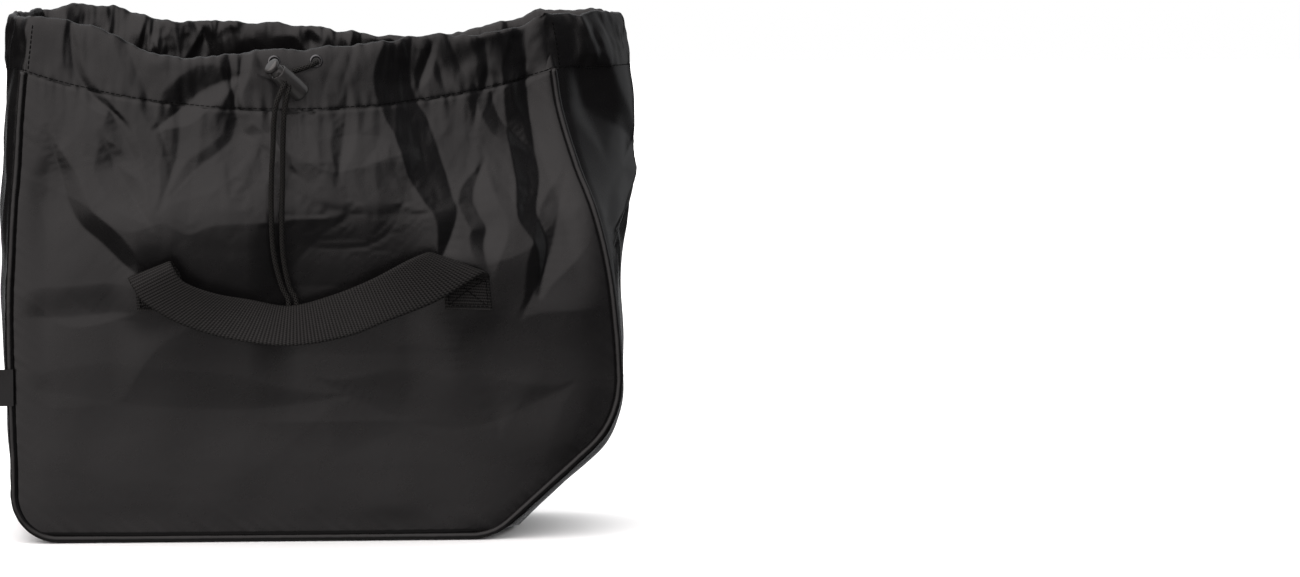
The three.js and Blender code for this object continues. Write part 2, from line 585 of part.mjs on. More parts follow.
// The cord lock: a tapered barrel and the plunger that slides in it, both pierced for the two cords.
function cordLock() {
  const holeLow = LOCK_HOLE_HEIGHT - 5.6;
  const holeHigh = LOCK_HOLE_HEIGHT + 5.6;
  const barrel = lathe([
    [0, 0], [6.6, 0], [7.7, 0.8], [8, 2], [7.9, 14], [7, 27], [6.6, 28], [5.9, 28], [5.9, 2.6], [0, 2.6],
  ], 20);
  const plunger = lathe([
    [0, 8.2], [5.5, 8.2], [5.5, 33.3], [6.7, 33.6], [6.7, 36.2], [5.6, 37.4], [0, 37.4],
  ], 18);
  const lock = new THREE.Group();
  lock.add(piece("cord_lock_barrel", cut(barrel, [slot(5.8, holeLow, holeHigh)]), PLASTIC));
  lock.add(piece("cord_lock_plunger", cut(plunger, [slot(5.8, holeLow, holeHigh + LOCK_TRAVEL)]), PLASTIC));
  const through = new THREE.Vector3(0, -Math.cos(LOCK_DROP), -Math.sin(LOCK_DROP));
  const lean = -LOCK_AXIS.y * Math.tan(LOCK_DROP);
  const axis = new THREE.Vector3(LOCK_AXIS.x, lean, LOCK_AXIS.y).normalize();
  lock.quaternion.setFromRotationMatrix(
    new THREE.Matrix4().makeBasis(axis.clone().cross(through), axis, through),
  );
  lock.position.copy(LOCK_HOLE).addScaledVector(axis, -LOCK_HOLE_HEIGHT);
  return lock;
}

function knot() {
  const ball = new THREE.SphereGeometry(0.5, 12, 7);
  return ball.scale(KNOT.width, KNOT.depth, KNOT.height).translate(KNOT.at.x, KNOT.at.y, KNOT.at.z);
}

// A folded tab over the piping, its fold outwards.
function tab() {
  const width = TAB.right - TAB.left;
  const radius = TAB.thick / 2;
  const section = new THREE.Shape();
  section.moveTo(width, -radius);
  section.lineTo(width, radius);
  section.absarc(radius, 0, radius, Math.PI / 2, 1.5 * Math.PI, false);
  section.closePath();
  const options = { depth: TAB.high - TAB.low, bevelEnabled: false, curveSegments: 6 };
  const front = -form("leftHalf", TAB.low) - PIPING_RADIUS - GAP - radius;
  return new THREE.ExtrudeGeometry(section, options).translate(TAB.left, front, TAB.low);
}

const bag = new THREE.Group();
bag.add(
  piece("front_panel", panel(-1, STATIONS[0], 18), NYLON),
  piece("rear_panel", panel(1, STATIONS[2], 11), NYLON),
  piece("gusset", gusset(4), NYLON),
  piece("casing", casing(), NYLON),
  piece("front_piping", piping(-1), NYLON),
  piece("rear_piping", piping(1), NYLON),
  piece("front_handle", handle(-1), WEB),
  piece("rear_handle", handle(1), WEB),
  piece("eyelet_left", eyelet(EYELET_X.left), BLACK_METAL),
  piece("eyelet_right", eyelet(EYELET_X.right), BLACK_METAL),
  piece("drawcord_loop", cordLoop(), CORD),
  piece("drawcord_left", tube(points(STRAND_LEFT), CORD_RADIUS, 8, 28), CORD),
  piece("drawcord_right", tube(points(STRAND_RIGHT), CORD_RADIUS, 8, 28), CORD),
  piece("drawcord_knot", knot(), CORD),
  piece("label_tab", tab(), WEB),
  cordLock(),
);

export default bag;
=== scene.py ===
"""A soft nylon drawstring liner for a motorcycle saddlebag, standing open.

Shapes are worked out in millimetres in the part's own frame, and the meshes hold them in metres.
"""

import math
from collections import namedtuple

import bpy
import numpy as np
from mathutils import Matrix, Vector


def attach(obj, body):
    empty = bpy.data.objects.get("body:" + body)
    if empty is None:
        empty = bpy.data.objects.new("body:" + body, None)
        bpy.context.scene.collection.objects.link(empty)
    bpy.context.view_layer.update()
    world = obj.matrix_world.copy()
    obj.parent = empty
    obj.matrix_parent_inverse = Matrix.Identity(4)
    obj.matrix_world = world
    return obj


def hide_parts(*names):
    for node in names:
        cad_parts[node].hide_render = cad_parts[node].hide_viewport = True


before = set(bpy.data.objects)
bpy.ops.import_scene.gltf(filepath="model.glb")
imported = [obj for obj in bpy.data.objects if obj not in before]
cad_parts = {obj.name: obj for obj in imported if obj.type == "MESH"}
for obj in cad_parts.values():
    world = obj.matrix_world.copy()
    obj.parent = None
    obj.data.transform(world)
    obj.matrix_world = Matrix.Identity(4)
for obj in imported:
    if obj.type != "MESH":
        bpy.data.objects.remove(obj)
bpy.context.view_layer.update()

MM = 0.001

# Driving sizes. Those that the part's solids have are the same there.
PIPING_RADIUS = 3
LEFT_CORNER_RADIUS = 38
CHAMFER_LOW = 138
CHAMFER_HIGH = 93
CHAMFER_LOW_RADIUS = 48
CHAMFER_HIGH_RADIUS = 75
CHAMFER_PUFF = 13
STITCH_HEIGHT = 374
FRONT_SAG = 31
REAR_SAG = 22
CASING_RISE = 44
CORD_RADIUS = 2.1
CORD_LEVEL = 0.79
CORD_OUT = -1.7
BRAID_STRANDS = 5
BRAID_PITCH = 9
BRAID_STEP = 0.55
WEBBING_THICK = 1.8
WEBBING_WIDTH = 38
WEBBING_RIB = 2.5
EYELET_X = {"left": -35, "right": -2}
EYELET_BORE = 3.2
EYELET_FLANGE = 5.4
EYELET_CLEARANCE = 6
LOCK_HOLE = (-25, -124, 369)
LOCK_HOLE_HEIGHT = 18
LOCK_DROP = math.radians(30)
LOCK_AXIS = (-0.73, 0.685)
LOCK_TRAVEL = 5
LOCK_SLOT_WIDTH = 5.8
LOCK_SLOT_REACH = 5.6

# The two long walls, by the direction along y in which they face.
SIDES = {"front": -1, "rear": 1}

# How far inside its outline a panel ends, and how far sheets lap past a seam.
PANEL_INSET = PIPING_RADIUS + 0.6
SEAM_LAP = 1.5

# How fine the pieces are: columns and rows of quads, and sides of round pieces.
DRAPE_GRID = (117, 93)
PANEL_STEPS = 3
GUSSET_ACROSS = 56
CASING_STATIONS = (330, 90, 330, 90)
CASING_ACROSS = 44
HANDLE_GRID = (20, 1240)
LOCK_SIDES = 56
EYELET_SIDES = 40
PIPING_SIDES = 14
CORD_SIDES = 20

# The settling of the panels: how much longer the cloth is cut than the space it hangs in and over which
# heights that comes in, how firmly its low and its high parts keep their shape, how many frames it takes,
# and what the cloth is like.
CLOTH_SLACK = 0.008
SLACK_HEIGHTS = (220, 320)
LOW_HOLD = 0.3
HIGH_HOLD = 0.08
HOLD_HEIGHTS = (200, 290)
DRAPE_FRAMES = 14
CLOTH = dict(
    quality=8, mass=0.01, air_damping=3, pin_stiffness=2, bending_stiffness=0.05, bending_damping=0.5,
    tension_stiffness=60, compression_stiffness=60, shear_stiffness=30,
    tension_damping=10, compression_damping=10, shear_damping=10,
)

# A row of stitches: the length and pitch of its stitches and the radius of its thread.
Stitch = namedtuple("Stitch", "length pitch radius")
HEM_STITCH = Stitch(2.9, 4.3, 0.32)
CORNER_STITCH = Stitch(2.8, 4.0, 0.36)
HANDLE_STITCH = Stitch(2.4, 3.3, 0.36)
# The height of the casing's lower seam, and the places of its corner seams round the mouth.
HEM_LEVEL = 0.04
CORNER_SEAMS = (0.008, 1.025, 2.008, 3.02)


def table(header, rows):
    """Named columns from rows of numbers."""
    return dict(zip(header.split(), np.array(rows, float).T))


# The bag's form by height: edges, half depths, and how far gussets and panels stand out.
FORM = table("z left right left_half right_half left_puff right_puff front rear", [
    (0, -246, 241, 84, 84, 1, 6, 2, 1),
    (25, -246, 241, 84, 84, 2, 6, 2.8, 6),
    (60, -246, 241, 84, 84, 3, 6, 3.8, 8),
    (134, -248, 241, 84, 84, 6, 5, 7.2, 11),
    (194, -248, 236, 84, 84, 8, 7, 14, 14),
    (230, -246, 230, 84, 82, 9, 16, 21, 17),
    (264, -244, 221, 84, 78, 11, 30, 26, 20),
    (298, -241, 208, 83, 69, 13, 47, 26, 22),
    (342, -238, 195, 83, 60, 15, 60, 25, 23),
    (374, -235, 190, 82, 58, 16, 61, 24, 22),
    (420, -229, 182, 82, 58, 20, 61, 16.5, 20),
])

# Height of the casing along the front and the rear, from the left corner to the right.
CASING = table("along front rear", [
    (0, 45, 45),
    (0.12, 51, 58),
    (0.25, 38, 52),
    (0.34, 41, 54),
    (0.46, 48, 55),
    (0.6, 50, 47),
    (0.76, 51, 38),
    (0.9, 42, 40),
    (1, 43, 43),
])

# How deep the front is pressed in above its handle, by height, and where that starts and ends along x.
POCKET = table("z depth", [(96, 0), (150, 2.8), (205, 4.6), (262, 3.8), (303, 0)])
POCKET_LEFT = (-58, -18)
POCKET_RIGHT = (66, 112)

# A fold: the line of its bottom as x, z from its start to its end, how far its slopes reach to the left
# and the right of that way, its depth (a ridge where negative), and how soft it is (0 creased, 1 round).
Fold = namedtuple("Fold", "name path left right depth soft")
NARROWEST_FOLD = 4
FRONT_FOLDS = [
    Fold("corner", [(-195, 430), (-193, 388), (-189, 371), (-177, 355), (-158, 339), (-146, 324)],
         7, 8, 3.4, 0.1),
    Fold("corner_end", [(-166, 350), (-151, 317), (-138, 286)], 9, 14, 2.6, 0.2),
    Fold("by_corner", [(-164, 426), (-147, 387), (-138, 366), (-124, 326), (-118, 302)], 18, 10, 2.4, 0.2),
    Fold("under_corner", [(-200, 388), (-198, 347), (-208, 306)], 16, 18, 1.4, 0.8),
    Fold("rim_hollow", [(-130, 328), (-106, 347), (-88, 361), (-56, 373)], 20, 14, 4.6, 0.1),
    Fold("pinch_left", [(-72, 430), (-70, 384), (-67, 346)], 6, 8, 3.6, 0.2),
    Fold("pinch_right", [(-51, 430), (-60, 382), (-67, 342)], 7, 10, 3.6, 0.2),
    Fold("lock_side", [(-56, 404), (-46, 384), (-32, 366)], 13, 9, 3, 0.2),
    Fold("left_drop", [(-214, 330), (-204, 296), (-198, 272), (-189, 255), (-172, 240), (-146, 216),
                       (-112, 196)], 15, 70, 6.8, 0.05),
    Fold("crest", [(-230, 290), (-188, 272), (-174, 261), (-151, 249), (-131, 254), (-121, 256), (-104, 247),
                   (-82, 254), (-42, 256), (20, 262)], 50, 70, -3.6, 0.1),
    Fold("left_short", [(-172, 326), (-151, 284), (-132, 252)], 12, 18, 3.4, 0.2),
    Fold("upright", [(-107, 370), (-110, 320), (-114, 300), (-126, 266)], 16, 12, 2.8, 0.15),
    Fold("vee_left", [(-66, 362), (-67, 325), (-82, 309), (-99, 296), (-126, 266)], 22, 9, 1.8, 0.2),
    Fold("vee_right", [(-67, 362), (-62, 331), (-53, 322), (-40, 310), (-14, 290)], 10, 24, 3.4, 0.15),
    Fold("high_crest", [(-60, 322), (-18, 308), (8, 296), (28, 298), (54, 306), (84, 312)], 26, 60, -4, 0.05),
    Fold("thin_upright", [(23, 362), (20, 328), (15, 288)], 10, 10, 1.8, 0.3),
    Fold("wide_band", [(80, 440), (71, 378), (77, 352), (86, 335), (96, 306), (105, 276), (108, 258),
                       (92, 214)], 110, 28, 12, 0.05),
    Fold("casing_tick", [(92, 400), (77, 354)], 6, 7, 2.4, 0.2),
    Fold("casing_slip", [(80, 422), (94, 380), (104, 346)], 11, 6, 1.8, 0.15),
    Fold("casing_band", [(90, 432), (112, 378), (125, 360), (123, 326)], 15, 12, 3.2, 0.1),
    Fold("casing_hook", [(126, 408), (134, 380), (129, 350)], 12, 9, 2.2, 0.15),
    Fold("casing_facet", [(166, 440), (148, 378), (136, 346)], 13, 15, 2.4, 0.1),
    Fold("right_branch", [(132, 382), (137, 358), (140, 344), (148, 330), (170, 308)], 15, 12, 3.8, 0.1),
    Fold("right_band", [(167, 450), (165, 384), (167, 345), (171, 314), (175, 288), (172, 262),
                        (180, 236), (174, 196)], 70, 19, 8.6, 0.05),
    Fold("right_wedge", [(197, 300), (188, 252), (180, 222), (160, 180)], 60, 15, 3.6, 0.1),
    Fold("right_short", [(131, 304), (122, 276), (126, 262), (132, 250), (130, 234), (136, 202)],
         17, 12, 3.8, 0.1),
    Fold("corner_pinch", [(206, 426), (186, 386), (160, 360)], 9, 12, 3.2, 0.15),
    Fold("left_sag", [(-268, 174), (-232, 180), (-200, 180), (-150, 184), (-104, 174)], 24, 70, 3.4, 0.4),
    Fold("under_patch", [(120, 224), (130, 160), (142, 84)], 46, 32, 1, 1),
    Fold("right_sag", [(0, 128), (40, 108), (64, 98), (104, 89), (144, 98), (200, 124)], 40, 70, 1.6, 0.5),
    Fold("low_sag", [(-260, 130), (-160, 112), (-60, 106), (20, 116)], 30, 60, 1.1, 0.4),
]
# The rear folds like the front does, mirrored about the mouth's middle.
MOUTH_MIDDLE = -22
REAR_FOLDS = [
    fold._replace(path=[(2 * MOUTH_MIDDLE - x, z) for x, z in fold.path], left=fold.right, right=fold.left)
    for fold in FRONT_FOLDS
]
# Folds of the gussets, as y, z.
RIGHT_FOLDS = [
    Fold("crease", [(-54, 432), (-42, 398), (-32, 379), (-23, 346), (-10, 326), (-2, 315), (4, 306)],
         26, 20, -6, 0.1),
    Fold("crease_back", [(2, 318), (-7, 300), (-20, 278), (-58, 254), (-80, 246)], 20, 18, -6, 0.1),
    Fold("facet", [(-50, 396), (-44, 345), (-48, 300)], 16, 14, 4, 0.6),
    Fold("behind", [(20, 432), (24, 360), (16, 300)], 18, 14, 6, 0.4),
    Fold("low_tuck", [(-70, 236), (-50, 226), (-30, 190)], 12, 14, 4, 0.4),
]
LEFT_FOLDS = [
    Fold("tuck", [(-20, 432), (-14, 360), (-8, 280)], 22, 16, 7, 0.3),
    Fold("behind", [(40, 412), (34, 320)], 18, 18, 5, 0.4),
]
# The folds of each wall, and the seed of its crumples.
FOLDS = {"front": FRONT_FOLDS, "rear": REAR_FOLDS, "right": RIGHT_FOLDS, "left": LEFT_FOLDS}
SEEDS = {"front": 3, "rear": 11, "right": 21, "left": 31}
# Where the ends of the handles are sewn down, as x, z, and how far round them the cloth stays flat.
PATCHES = [(-126, 198, 30), (117, 200, 30)]

# A handle from its left end to its right: x, z and height above the panel, at its upper (inner) and its
# lower (outer) edge.
HANDLE = table("inner_x inner_z inner_out outer_x outer_z outer_out", [
    (-107, 186, 0.7, -144, 186, 0.7),
    (-109, 212, 0.8, -146, 207, 0.8),
    (-114, 223, 5, -150, 211, 5),
    (-117, 227, 11, -151, 213, 11),
    (-115, 222, 17, -147, 206, 17),
    (-106, 210, 18, -138, 194, 20),
    (-83, 201, 17, -114, 179, 22),
    (-56, 196, 15, -78, 167, 26),
    (-24, 191, 14, -26, 161, 36),
    (9, 199, 15, 20, 167, 31),
    (39, 211, 17, 53, 179, 28),
    (64, 224, 18, 90, 193, 22),
    (79, 231, 17, 116, 208, 17),
    (87, 233, 11, 130, 216, 11),
    (92, 226, 5, 134, 213, 5),
    (97, 214, 0.8, 134, 209, 0.8),
    (99, 186, 0.7, 136, 185, 0.7),
])
HANDLE["at"] = np.arange(len(HANDLE["inner_x"]), dtype=float)
HANDLE_END = HANDLE["at"][-1]

# The free ends of the drawcord, from inside the casing through the eyelet and the lock down to the knot.
STRANDS = {"left": [
    (-35, -95.5, 382), (-35, -103, 381.7), (-32.5, -110.5, 379.5), (-27.5, -116.8, 376),
    (-26.5, -125, 371), (-26.8, -132.5, 366.3), (-29.5, -137.5, 360.5), (-33.5, -138.5, 350),
    (-35.4, -135.5, 335), (-36, -131.5, 318), (-37.5, -125, 292), (-37.8, -118.5, 262),
    (-36.2, -112.5, 232), (-30.4, -107.8, 207), (-25.4, -106.6, 196), (-24.7, -106.5, 190.2),
], "right": [
    (-2, -95.5, 382), (-2, -103, 381.7), (-5.5, -109, 380), (-14, -111.5, 377), (-21, -112, 374.4),
    (-23.3, -117, 371), (-23.4, -124, 367.3), (-23.6, -132, 362.6), (-25.2, -136, 356),
    (-27.2, -135.5, 342), (-28.2, -131.5, 322), (-28.8, -125, 292), (-29.6, -117.5, 258),
    (-28.8, -112, 230), (-24.3, -107.6, 206), (-19.4, -106.6, 196), (-18.6, -106.5, 190.2),
]}
KNOT_AT = (-21.6, -106.5, 183.8)
KNOT_SIZE = (15, 10, 12)
TAB = {"left": -256, "right": -242.5, "low": 110, "high": 139, "thick": 1.4, "gap": 0.5}


# Small numeric helpers.
def lerp(a, b, t):
    return a + (b - a) * t


def smoothstep(value, low, high):
    t = np.clip((value - low) / (high - low), 0, 1)
    return t * t * (3 - 2 * t)


def inside(share, reach):
    """0 at both ends of a share from 0 to 1, and 1 further in than reach."""
    return smoothstep(share, 0, reach) * smoothstep(1 - share, 0, reach)


def falloff(distance, reach):
    return np.exp(-((distance / reach) ** 2))


def full_turn(sides):
    return np.linspace(0, 2 * math.pi, sides, endpoint=False)


def stacked(*columns):
    """Arrays brought to one shape and set side by side along a new last axis."""
    return np.stack(np.broadcast_arrays(*columns), -1)


def read(columns, by, name, place):
    """A smooth value from a table's column, at places between its rows."""
    xs, ys = columns[by], columns[name]
    last = len(xs) - 1
    rows = np.arange(last + 1)
    before, after = np.maximum(rows - 1, 0), np.minimum(rows + 1, last)
    slopes = (ys[after] - ys[before]) / (xs[after] - xs[before])
    place = np.asarray(place, float)
    i = np.clip(np.searchsorted(xs, place) - 1, 0, last - 1)
    span = xs[i + 1] - xs[i]
    t = np.clip((place - xs[i]) / span, 0, 1)
    rise = ys[i + 1] - ys[i]
    start, end = slopes[i] * span, slopes[i + 1] * span
    return ys[i] + t * (start + t * (3 * rise - 2 * start - end + t * (start + end - 2 * rise)))


def form(name, z):
    return read(FORM, "z", name, z)


def noise(x, y, seed):
    """Smooth noise over a plane, from about -1 to 1 and the same each run."""
    angles = np.random.default_rng(seed).uniform(0, 2 * math.pi, (64, 64))
    x, y = np.broadcast_arrays(np.asarray(x, float), np.asarray(y, float))
    left, low = np.floor(x).astype(int), np.floor(y).astype(int)
    fx, fy = x - left, y - low
    total = 0
    for dx in (0, 1):
        for dy in (0, 1):
            angle = angles[(left + dx) % 64, (low + dy) % 64]
            slope = np.cos(angle) * (fx - dx) + np.sin(angle) * (fy - dy)
            fade_x = smoothstep(fx if dx else 1 - fx, 0, 1)
            fade_y = smoothstep(fy if dy else 1 - fy, 0, 1)
            total = total + slope * fade_x * fade_y
    return 1.5 * total


def facets(x, y, size, seed):
    """Flat facets that meet in creases, as in crumpled cloth, from about -1 to 1 and the same each run."""
    heights = np.random.default_rng(seed).uniform(-1, 1, (64, 64))
    x, y = np.broadcast_arrays(np.asarray(x, float) / size, np.asarray(y, float) / size)
    x, y = x + 0.4 * noise(x / 2, y / 2, seed + 1), y + 0.4 * noise(x / 2, y / 2, seed + 2)
    left, low = np.floor(x).astype(int), np.floor(y).astype(int)
    flipped = heights[(left + 31) % 64, (low + 17) % 64] > 0
    fx, fy = np.where(flipped, 1 - (x - left), x - left), y - low

    def corner(across, up):
        return heights[(left + np.where(flipped, 1 - across, across)) % 64, (low + up) % 64]

    lower = corner(0, 0) + fx * (corner(1, 0) - corner(0, 0)) + fy * (corner(0, 1) - corner(0, 0))
    upper = corner(1, 1) + (1 - fx) * (corner(0, 1) - corner(1, 1)) + (1 - fy) * (corner(1, 0) - corner(1, 1))
    return np.where(fx + fy < 1, lower, upper)


def smooth_path(points, steps):
    """Points along a smooth curve through a list of places, with its first and last place kept."""
    points = np.array(points, float)
    ends = np.vstack([2 * points[0] - points[1], points, 2 * points[-1] - points[-2]])
    t = np.linspace(0, 1, steps, endpoint=False)[:, None]
    runs = []
    for a, b, c, d in zip(ends[:-3], ends[1:-2], ends[2:-1], ends[3:]):
        runs.append(0.5 * (2 * b + (c - a) * t + (2 * a - 5 * b + 4 * c - d) * t**2
                           + (3 * b - a - 3 * c + d) * t**3))
    return np.vstack([*runs, points[-1:]])


def path_lengths(path):
    """Distance from the first point of a path to each of its points."""
    steps = np.linalg.norm(np.diff(path, axis=0), axis=-1)
    return np.concatenate([[0], np.cumsum(steps)])


def along_path(path, lengths, at):
    """Places on a path at distances from its first point."""
    return np.stack([np.interp(at, lengths, column) for column in path.T], -1)


def fold_depth(folds, x, z):
    """How deep the folds press a sheet in at x, z."""
    depth = np.zeros(x.shape)
    for fold in folds:
        route = smooth_path(fold.path, 6)
        reach = 1.1 * max(fold.left, fold.right)
        low, high = route.min(0) - reach, route.max(0) + reach
        near = (x > low[0]) & (x < high[0]) & (z > low[1]) & (z < high[1])
        if not near.any():
            continue
        lengths = path_lengths(route)
        px, pz = x[near], z[near]
        best = np.full(px.shape, np.inf)
        side = np.ones(px.shape)
        weights, weighed = np.zeros(px.shape), np.zeros(px.shape)
        for a, b, at, after in zip(route[:-1], route[1:], lengths[:-1], lengths[1:]):
            run = b - a
            ax, az = px - a[0], pz - a[1]
            t = np.clip((ax * run[0] + az * run[1]) / (run @ run), 0, 1)
            gap = np.hypot(ax - t * run[0], az - t * run[1])
            closer = gap < best
            best = np.where(closer, gap, best)
            side = np.where(closer, run[0] * az - run[1] * ax, side)
            weight = (1 + gap) ** -8
            weights = weights + weight
            weighed = weighed + weight * lerp(at, after, t)
        share = weighed / weights / lengths[-1]
        taper = smoothstep(share, -0.05, 0.34) * smoothstep(1 - share, -0.05, 0.4) + 0.02
        width = np.maximum(np.where(side > 0, fold.left, fold.right) * taper, NARROWEST_FOLD)
        slope = np.clip(1 - best / width, 0, 1)
        slope = lerp(slope, smoothstep(slope, 0, 1), fold.soft)
        depth[near] += fold.depth * taper * slope
    return depth


# The outline seen from the front.
CHAMFER_ANGLE = math.atan2(CHAMFER_HIGH, float(form("right", 0)) - CHAMFER_LOW)
LOW_ARC = (CHAMFER_LOW - CHAMFER_LOW_RADIUS * math.tan(CHAMFER_ANGLE / 2), CHAMFER_LOW_RADIUS)
HIGH_ARC = (
    float(form("right", 0)) - CHAMFER_HIGH_RADIUS,
    CHAMFER_HIGH + CHAMFER_HIGH_RADIUS * math.tan((math.pi / 2 - CHAMFER_ANGLE) / 2),
)


def left_edge(z, inset):
    """x of the left edge at a height, moved inwards by inset."""
    radius = LEFT_CORNER_RADIUS - inset
    drop = np.clip(LEFT_CORNER_RADIUS - z, 0, radius)
    arc = form("left", LEFT_CORNER_RADIUS) + LEFT_CORNER_RADIUS - np.sqrt(radius**2 - drop**2)
    return np.where(z >= LEFT_CORNER_RADIUS, form("left", z) + inset, arc)


def right_edge(z, inset):
    """x of the right edge at a height: side, upper arc, slanted corner, lower arc."""
    z = np.asarray(z, float)
    high_radius, low_radius = CHAMFER_HIGH_RADIUS - inset, CHAMFER_LOW_RADIUS - inset
    high = HIGH_ARC[0] + np.sqrt(np.maximum(high_radius**2 - (HIGH_ARC[1] - z) ** 2, 0))
    low = LOW_ARC[0] + np.sqrt(np.maximum(low_radius**2 - (LOW_ARC[1] - z) ** 2, 0))
    slant = CHAMFER_LOW + z / math.tan(CHAMFER_ANGLE) - inset / math.sin(CHAMFER_ANGLE)
    edge = np.where(z <= LOW_ARC[1] - low_radius * math.cos(CHAMFER_ANGLE), low, slant)
    edge = np.where(z >= HIGH_ARC[1] - high_radius * math.cos(CHAMFER_ANGLE), high, edge)
    return np.where(z >= HIGH_ARC[1], form("right", z) - inset, edge)


def loose(x, z):
    """How free the cloth is to fold: not at all where the ends of a handle are sewn down."""
    free = 1
    for patch_x, patch_z, reach in PATCHES:
        near = ((x - patch_x) / reach) ** 2 + ((z - patch_z) / reach) ** 2
        free = free * (1 - np.exp(-(near**2)))
    return free


def belly(along, z):
    """How far a panel stands out along its width: flatter across low down."""
    return 1 - np.abs(2 * along - 1) ** lerp(6, 2.4, smoothstep(z, 120, 280))


def bulge(across):
    return 1 - np.abs(2 * across - 1) ** 1.7


def stitch_height(side, along):
    dip = np.maximum(1 - (2 * along - 1) ** 2, 0) ** 0.9
    return STITCH_HEIGHT - (FRONT_SAG if side < 0 else REAR_SAG) * dip


def crumple(x, z, seed):
    """Unevenness of soft cloth: slack facets high up, long low waves further down."""
    wide = 0.8 * noise(x / 60, z / 60, seed)
    high = facets(x, 0.6 * z, 24, seed + 2) + 0.4 * facets(x, 0.7 * z, 9, seed + 5)
    low = 0.14 * facets(0.45 * x, z, 30, seed + 8)
    slack = 0.75 - 0.35 * smoothstep(z, 345, 385)
    return wide + lerp(low, slack * high, smoothstep(z, 190, 310))


def pocket(x, z):
    """How deep the front is pressed in above its handle."""
    across = smoothstep(x, *POCKET_LEFT) * (1 - smoothstep(x, *POCKET_RIGHT))
    return np.interp(z, POCKET["z"], POCKET["depth"]) * across


def wall_name(side):
    return "front" if side < 0 else "rear"


def wall_out(side, along, z):
    """How far a panel without folds stands out from the bag's middle."""
    half = lerp(form("left_half", z), form("right_half", z), along)
    return half + form(wall_name(side), z) * belly(along, z)


def panel_point(side, along, z, inset):
    """A point on the front (side -1) or the rear (side 1), by its share of the width and its height."""
    wall = wall_name(side)
    x = lerp(left_edge(z, inset), right_edge(z, inset), along)
    pressed = fold_depth(FOLDS[wall], x, z) + crumple(x, z, SEEDS[wall])
    if wall == "front":
        pressed = pressed + pocket(x, z)
    seams = inside(along, 0.06) * smoothstep(z, 5, 30)
    return stacked(x, side * (wall_out(side, along, z) - pressed * loose(x, z) * seams), z)


def above_smooth(side, x, z, out):
    """A point at x, z, set out from the panel as it would be without folds."""
    along = (x - left_edge(z, 0)) / (right_edge(z, 0) - left_edge(z, 0))
    return stacked(x, side * (wall_out(side, along, z) + out), z)


def side_out(wall, y, z):
    """How far the left or right wall stands out past its seams."""
    across = np.clip((y / form(wall + "_half", z) + 1) / 2, 0, 1)
    puff = form(wall + "_puff", z) * bulge(across)
    pressed = fold_depth(FOLDS[wall], y, z) + 0.6 * crumple(y, z, SEEDS[wall])
    pressed = pressed + 2.4 * facets(y, 0.7 * z, 34, SEEDS[wall] + 4) * smoothstep(z, 160, 260)
    return puff - pressed * inside(across, 0.12)


# Meshes.
def mesh_of(name, points, faces, uvs=None):
    """A smooth mesh from points in millimetres; uvs holds one flat place in metres for each face corner."""
    mesh = bpy.data.meshes.new(name)
    mesh.from_pydata((np.asarray(points, float) * MM).tolist(), [], faces)
    if uvs is not None:
        layer = mesh.uv_layers.new(name="flat")
        layer.data.foreach_set("uv", np.asarray(uvs, np.float32).ravel())
    mesh.polygons.foreach_set("use_smooth", np.ones(len(mesh.polygons), bool))
    mesh.update()
    return mesh


def quads(at):
    """The four corners of each cell of a grid, going round the cell."""
    return np.stack([at[:-1, :-1], at[:-1, 1:], at[1:, 1:], at[1:, :-1]], 2)


def grid(points, flat, wrap=False):
    """Quads over a grid of points, closed along its rows if wrap; flat holds a place in mm for each point,
    with one row more if wrap."""
    at = np.arange(points.size // 3).reshape(points.shape[:2])
    if wrap:
        at = np.vstack([at, at[:1]])
    return points.reshape(-1, 3), quads(at).reshape(-1, 4).tolist(), quads(flat).reshape(-1, 2) * MM


def ring_faces(rings, sides, ends):
    """Quads between rings of points, with flat ends if asked for."""
    at = np.arange(rings * sides).reshape(rings, sides)
    at = np.hstack([at, at[:, :1]])
    faces = quads(at).reshape(-1, 4).tolist()
    if ends:
        faces += [at[0, -2::-1].tolist(), at[-1, :-1].tolist()]
    return faces


def frames_along(path):
    """Two directions square to a path at each of its points, without needless twist."""
    ahead = np.gradient(path, axis=0)
    ahead /= np.linalg.norm(ahead, axis=1, keepdims=True)
    side = np.cross(ahead[0], [0, 0, 1] if abs(ahead[0][2]) < 0.9 else [1, 0, 0])
    sides = []
    for direction in ahead:
        side = side - direction * (side @ direction)
        side = side / np.linalg.norm(side)
        sides.append(side)
    sides = np.array(sides)
    return sides, np.cross(ahead, sides)


def tube(path, radius, sides):
    """A round tube along a path; radius is one number or one for each place and side."""
    across, up = frames_along(path)
    turn = full_turn(sides)[None, :, None]
    radius = np.broadcast_to(radius, (len(path), sides))
    ring = np.cos(turn) * across[:, None] + np.sin(turn) * up[:, None]
    points = path[:, None] + radius[..., None] * ring
    around = np.linspace(0, 2 * math.pi * np.mean(radius), sides + 1)
    flat = stacked(around[None], path_lengths(path)[:, None])
    uvs = np.vstack([quads(flat).reshape(-1, 2) * MM, np.zeros((2 * sides, 2))])
    return points.reshape(-1, 3), ring_faces(len(path), sides, True), uvs


def merge(parts):
    """One set of points, faces and UVs from several."""
    points, faces, uvs = [], [], []
    count = 0
    for part_points, part_faces, part_uvs in parts:
        points.append(part_points)
        faces.extend([[i + count for i in face] for face in part_faces])
        uvs.append(part_uvs)
        count += len(part_points)
    return np.vstack(points), faces, np.vstack(uvs)


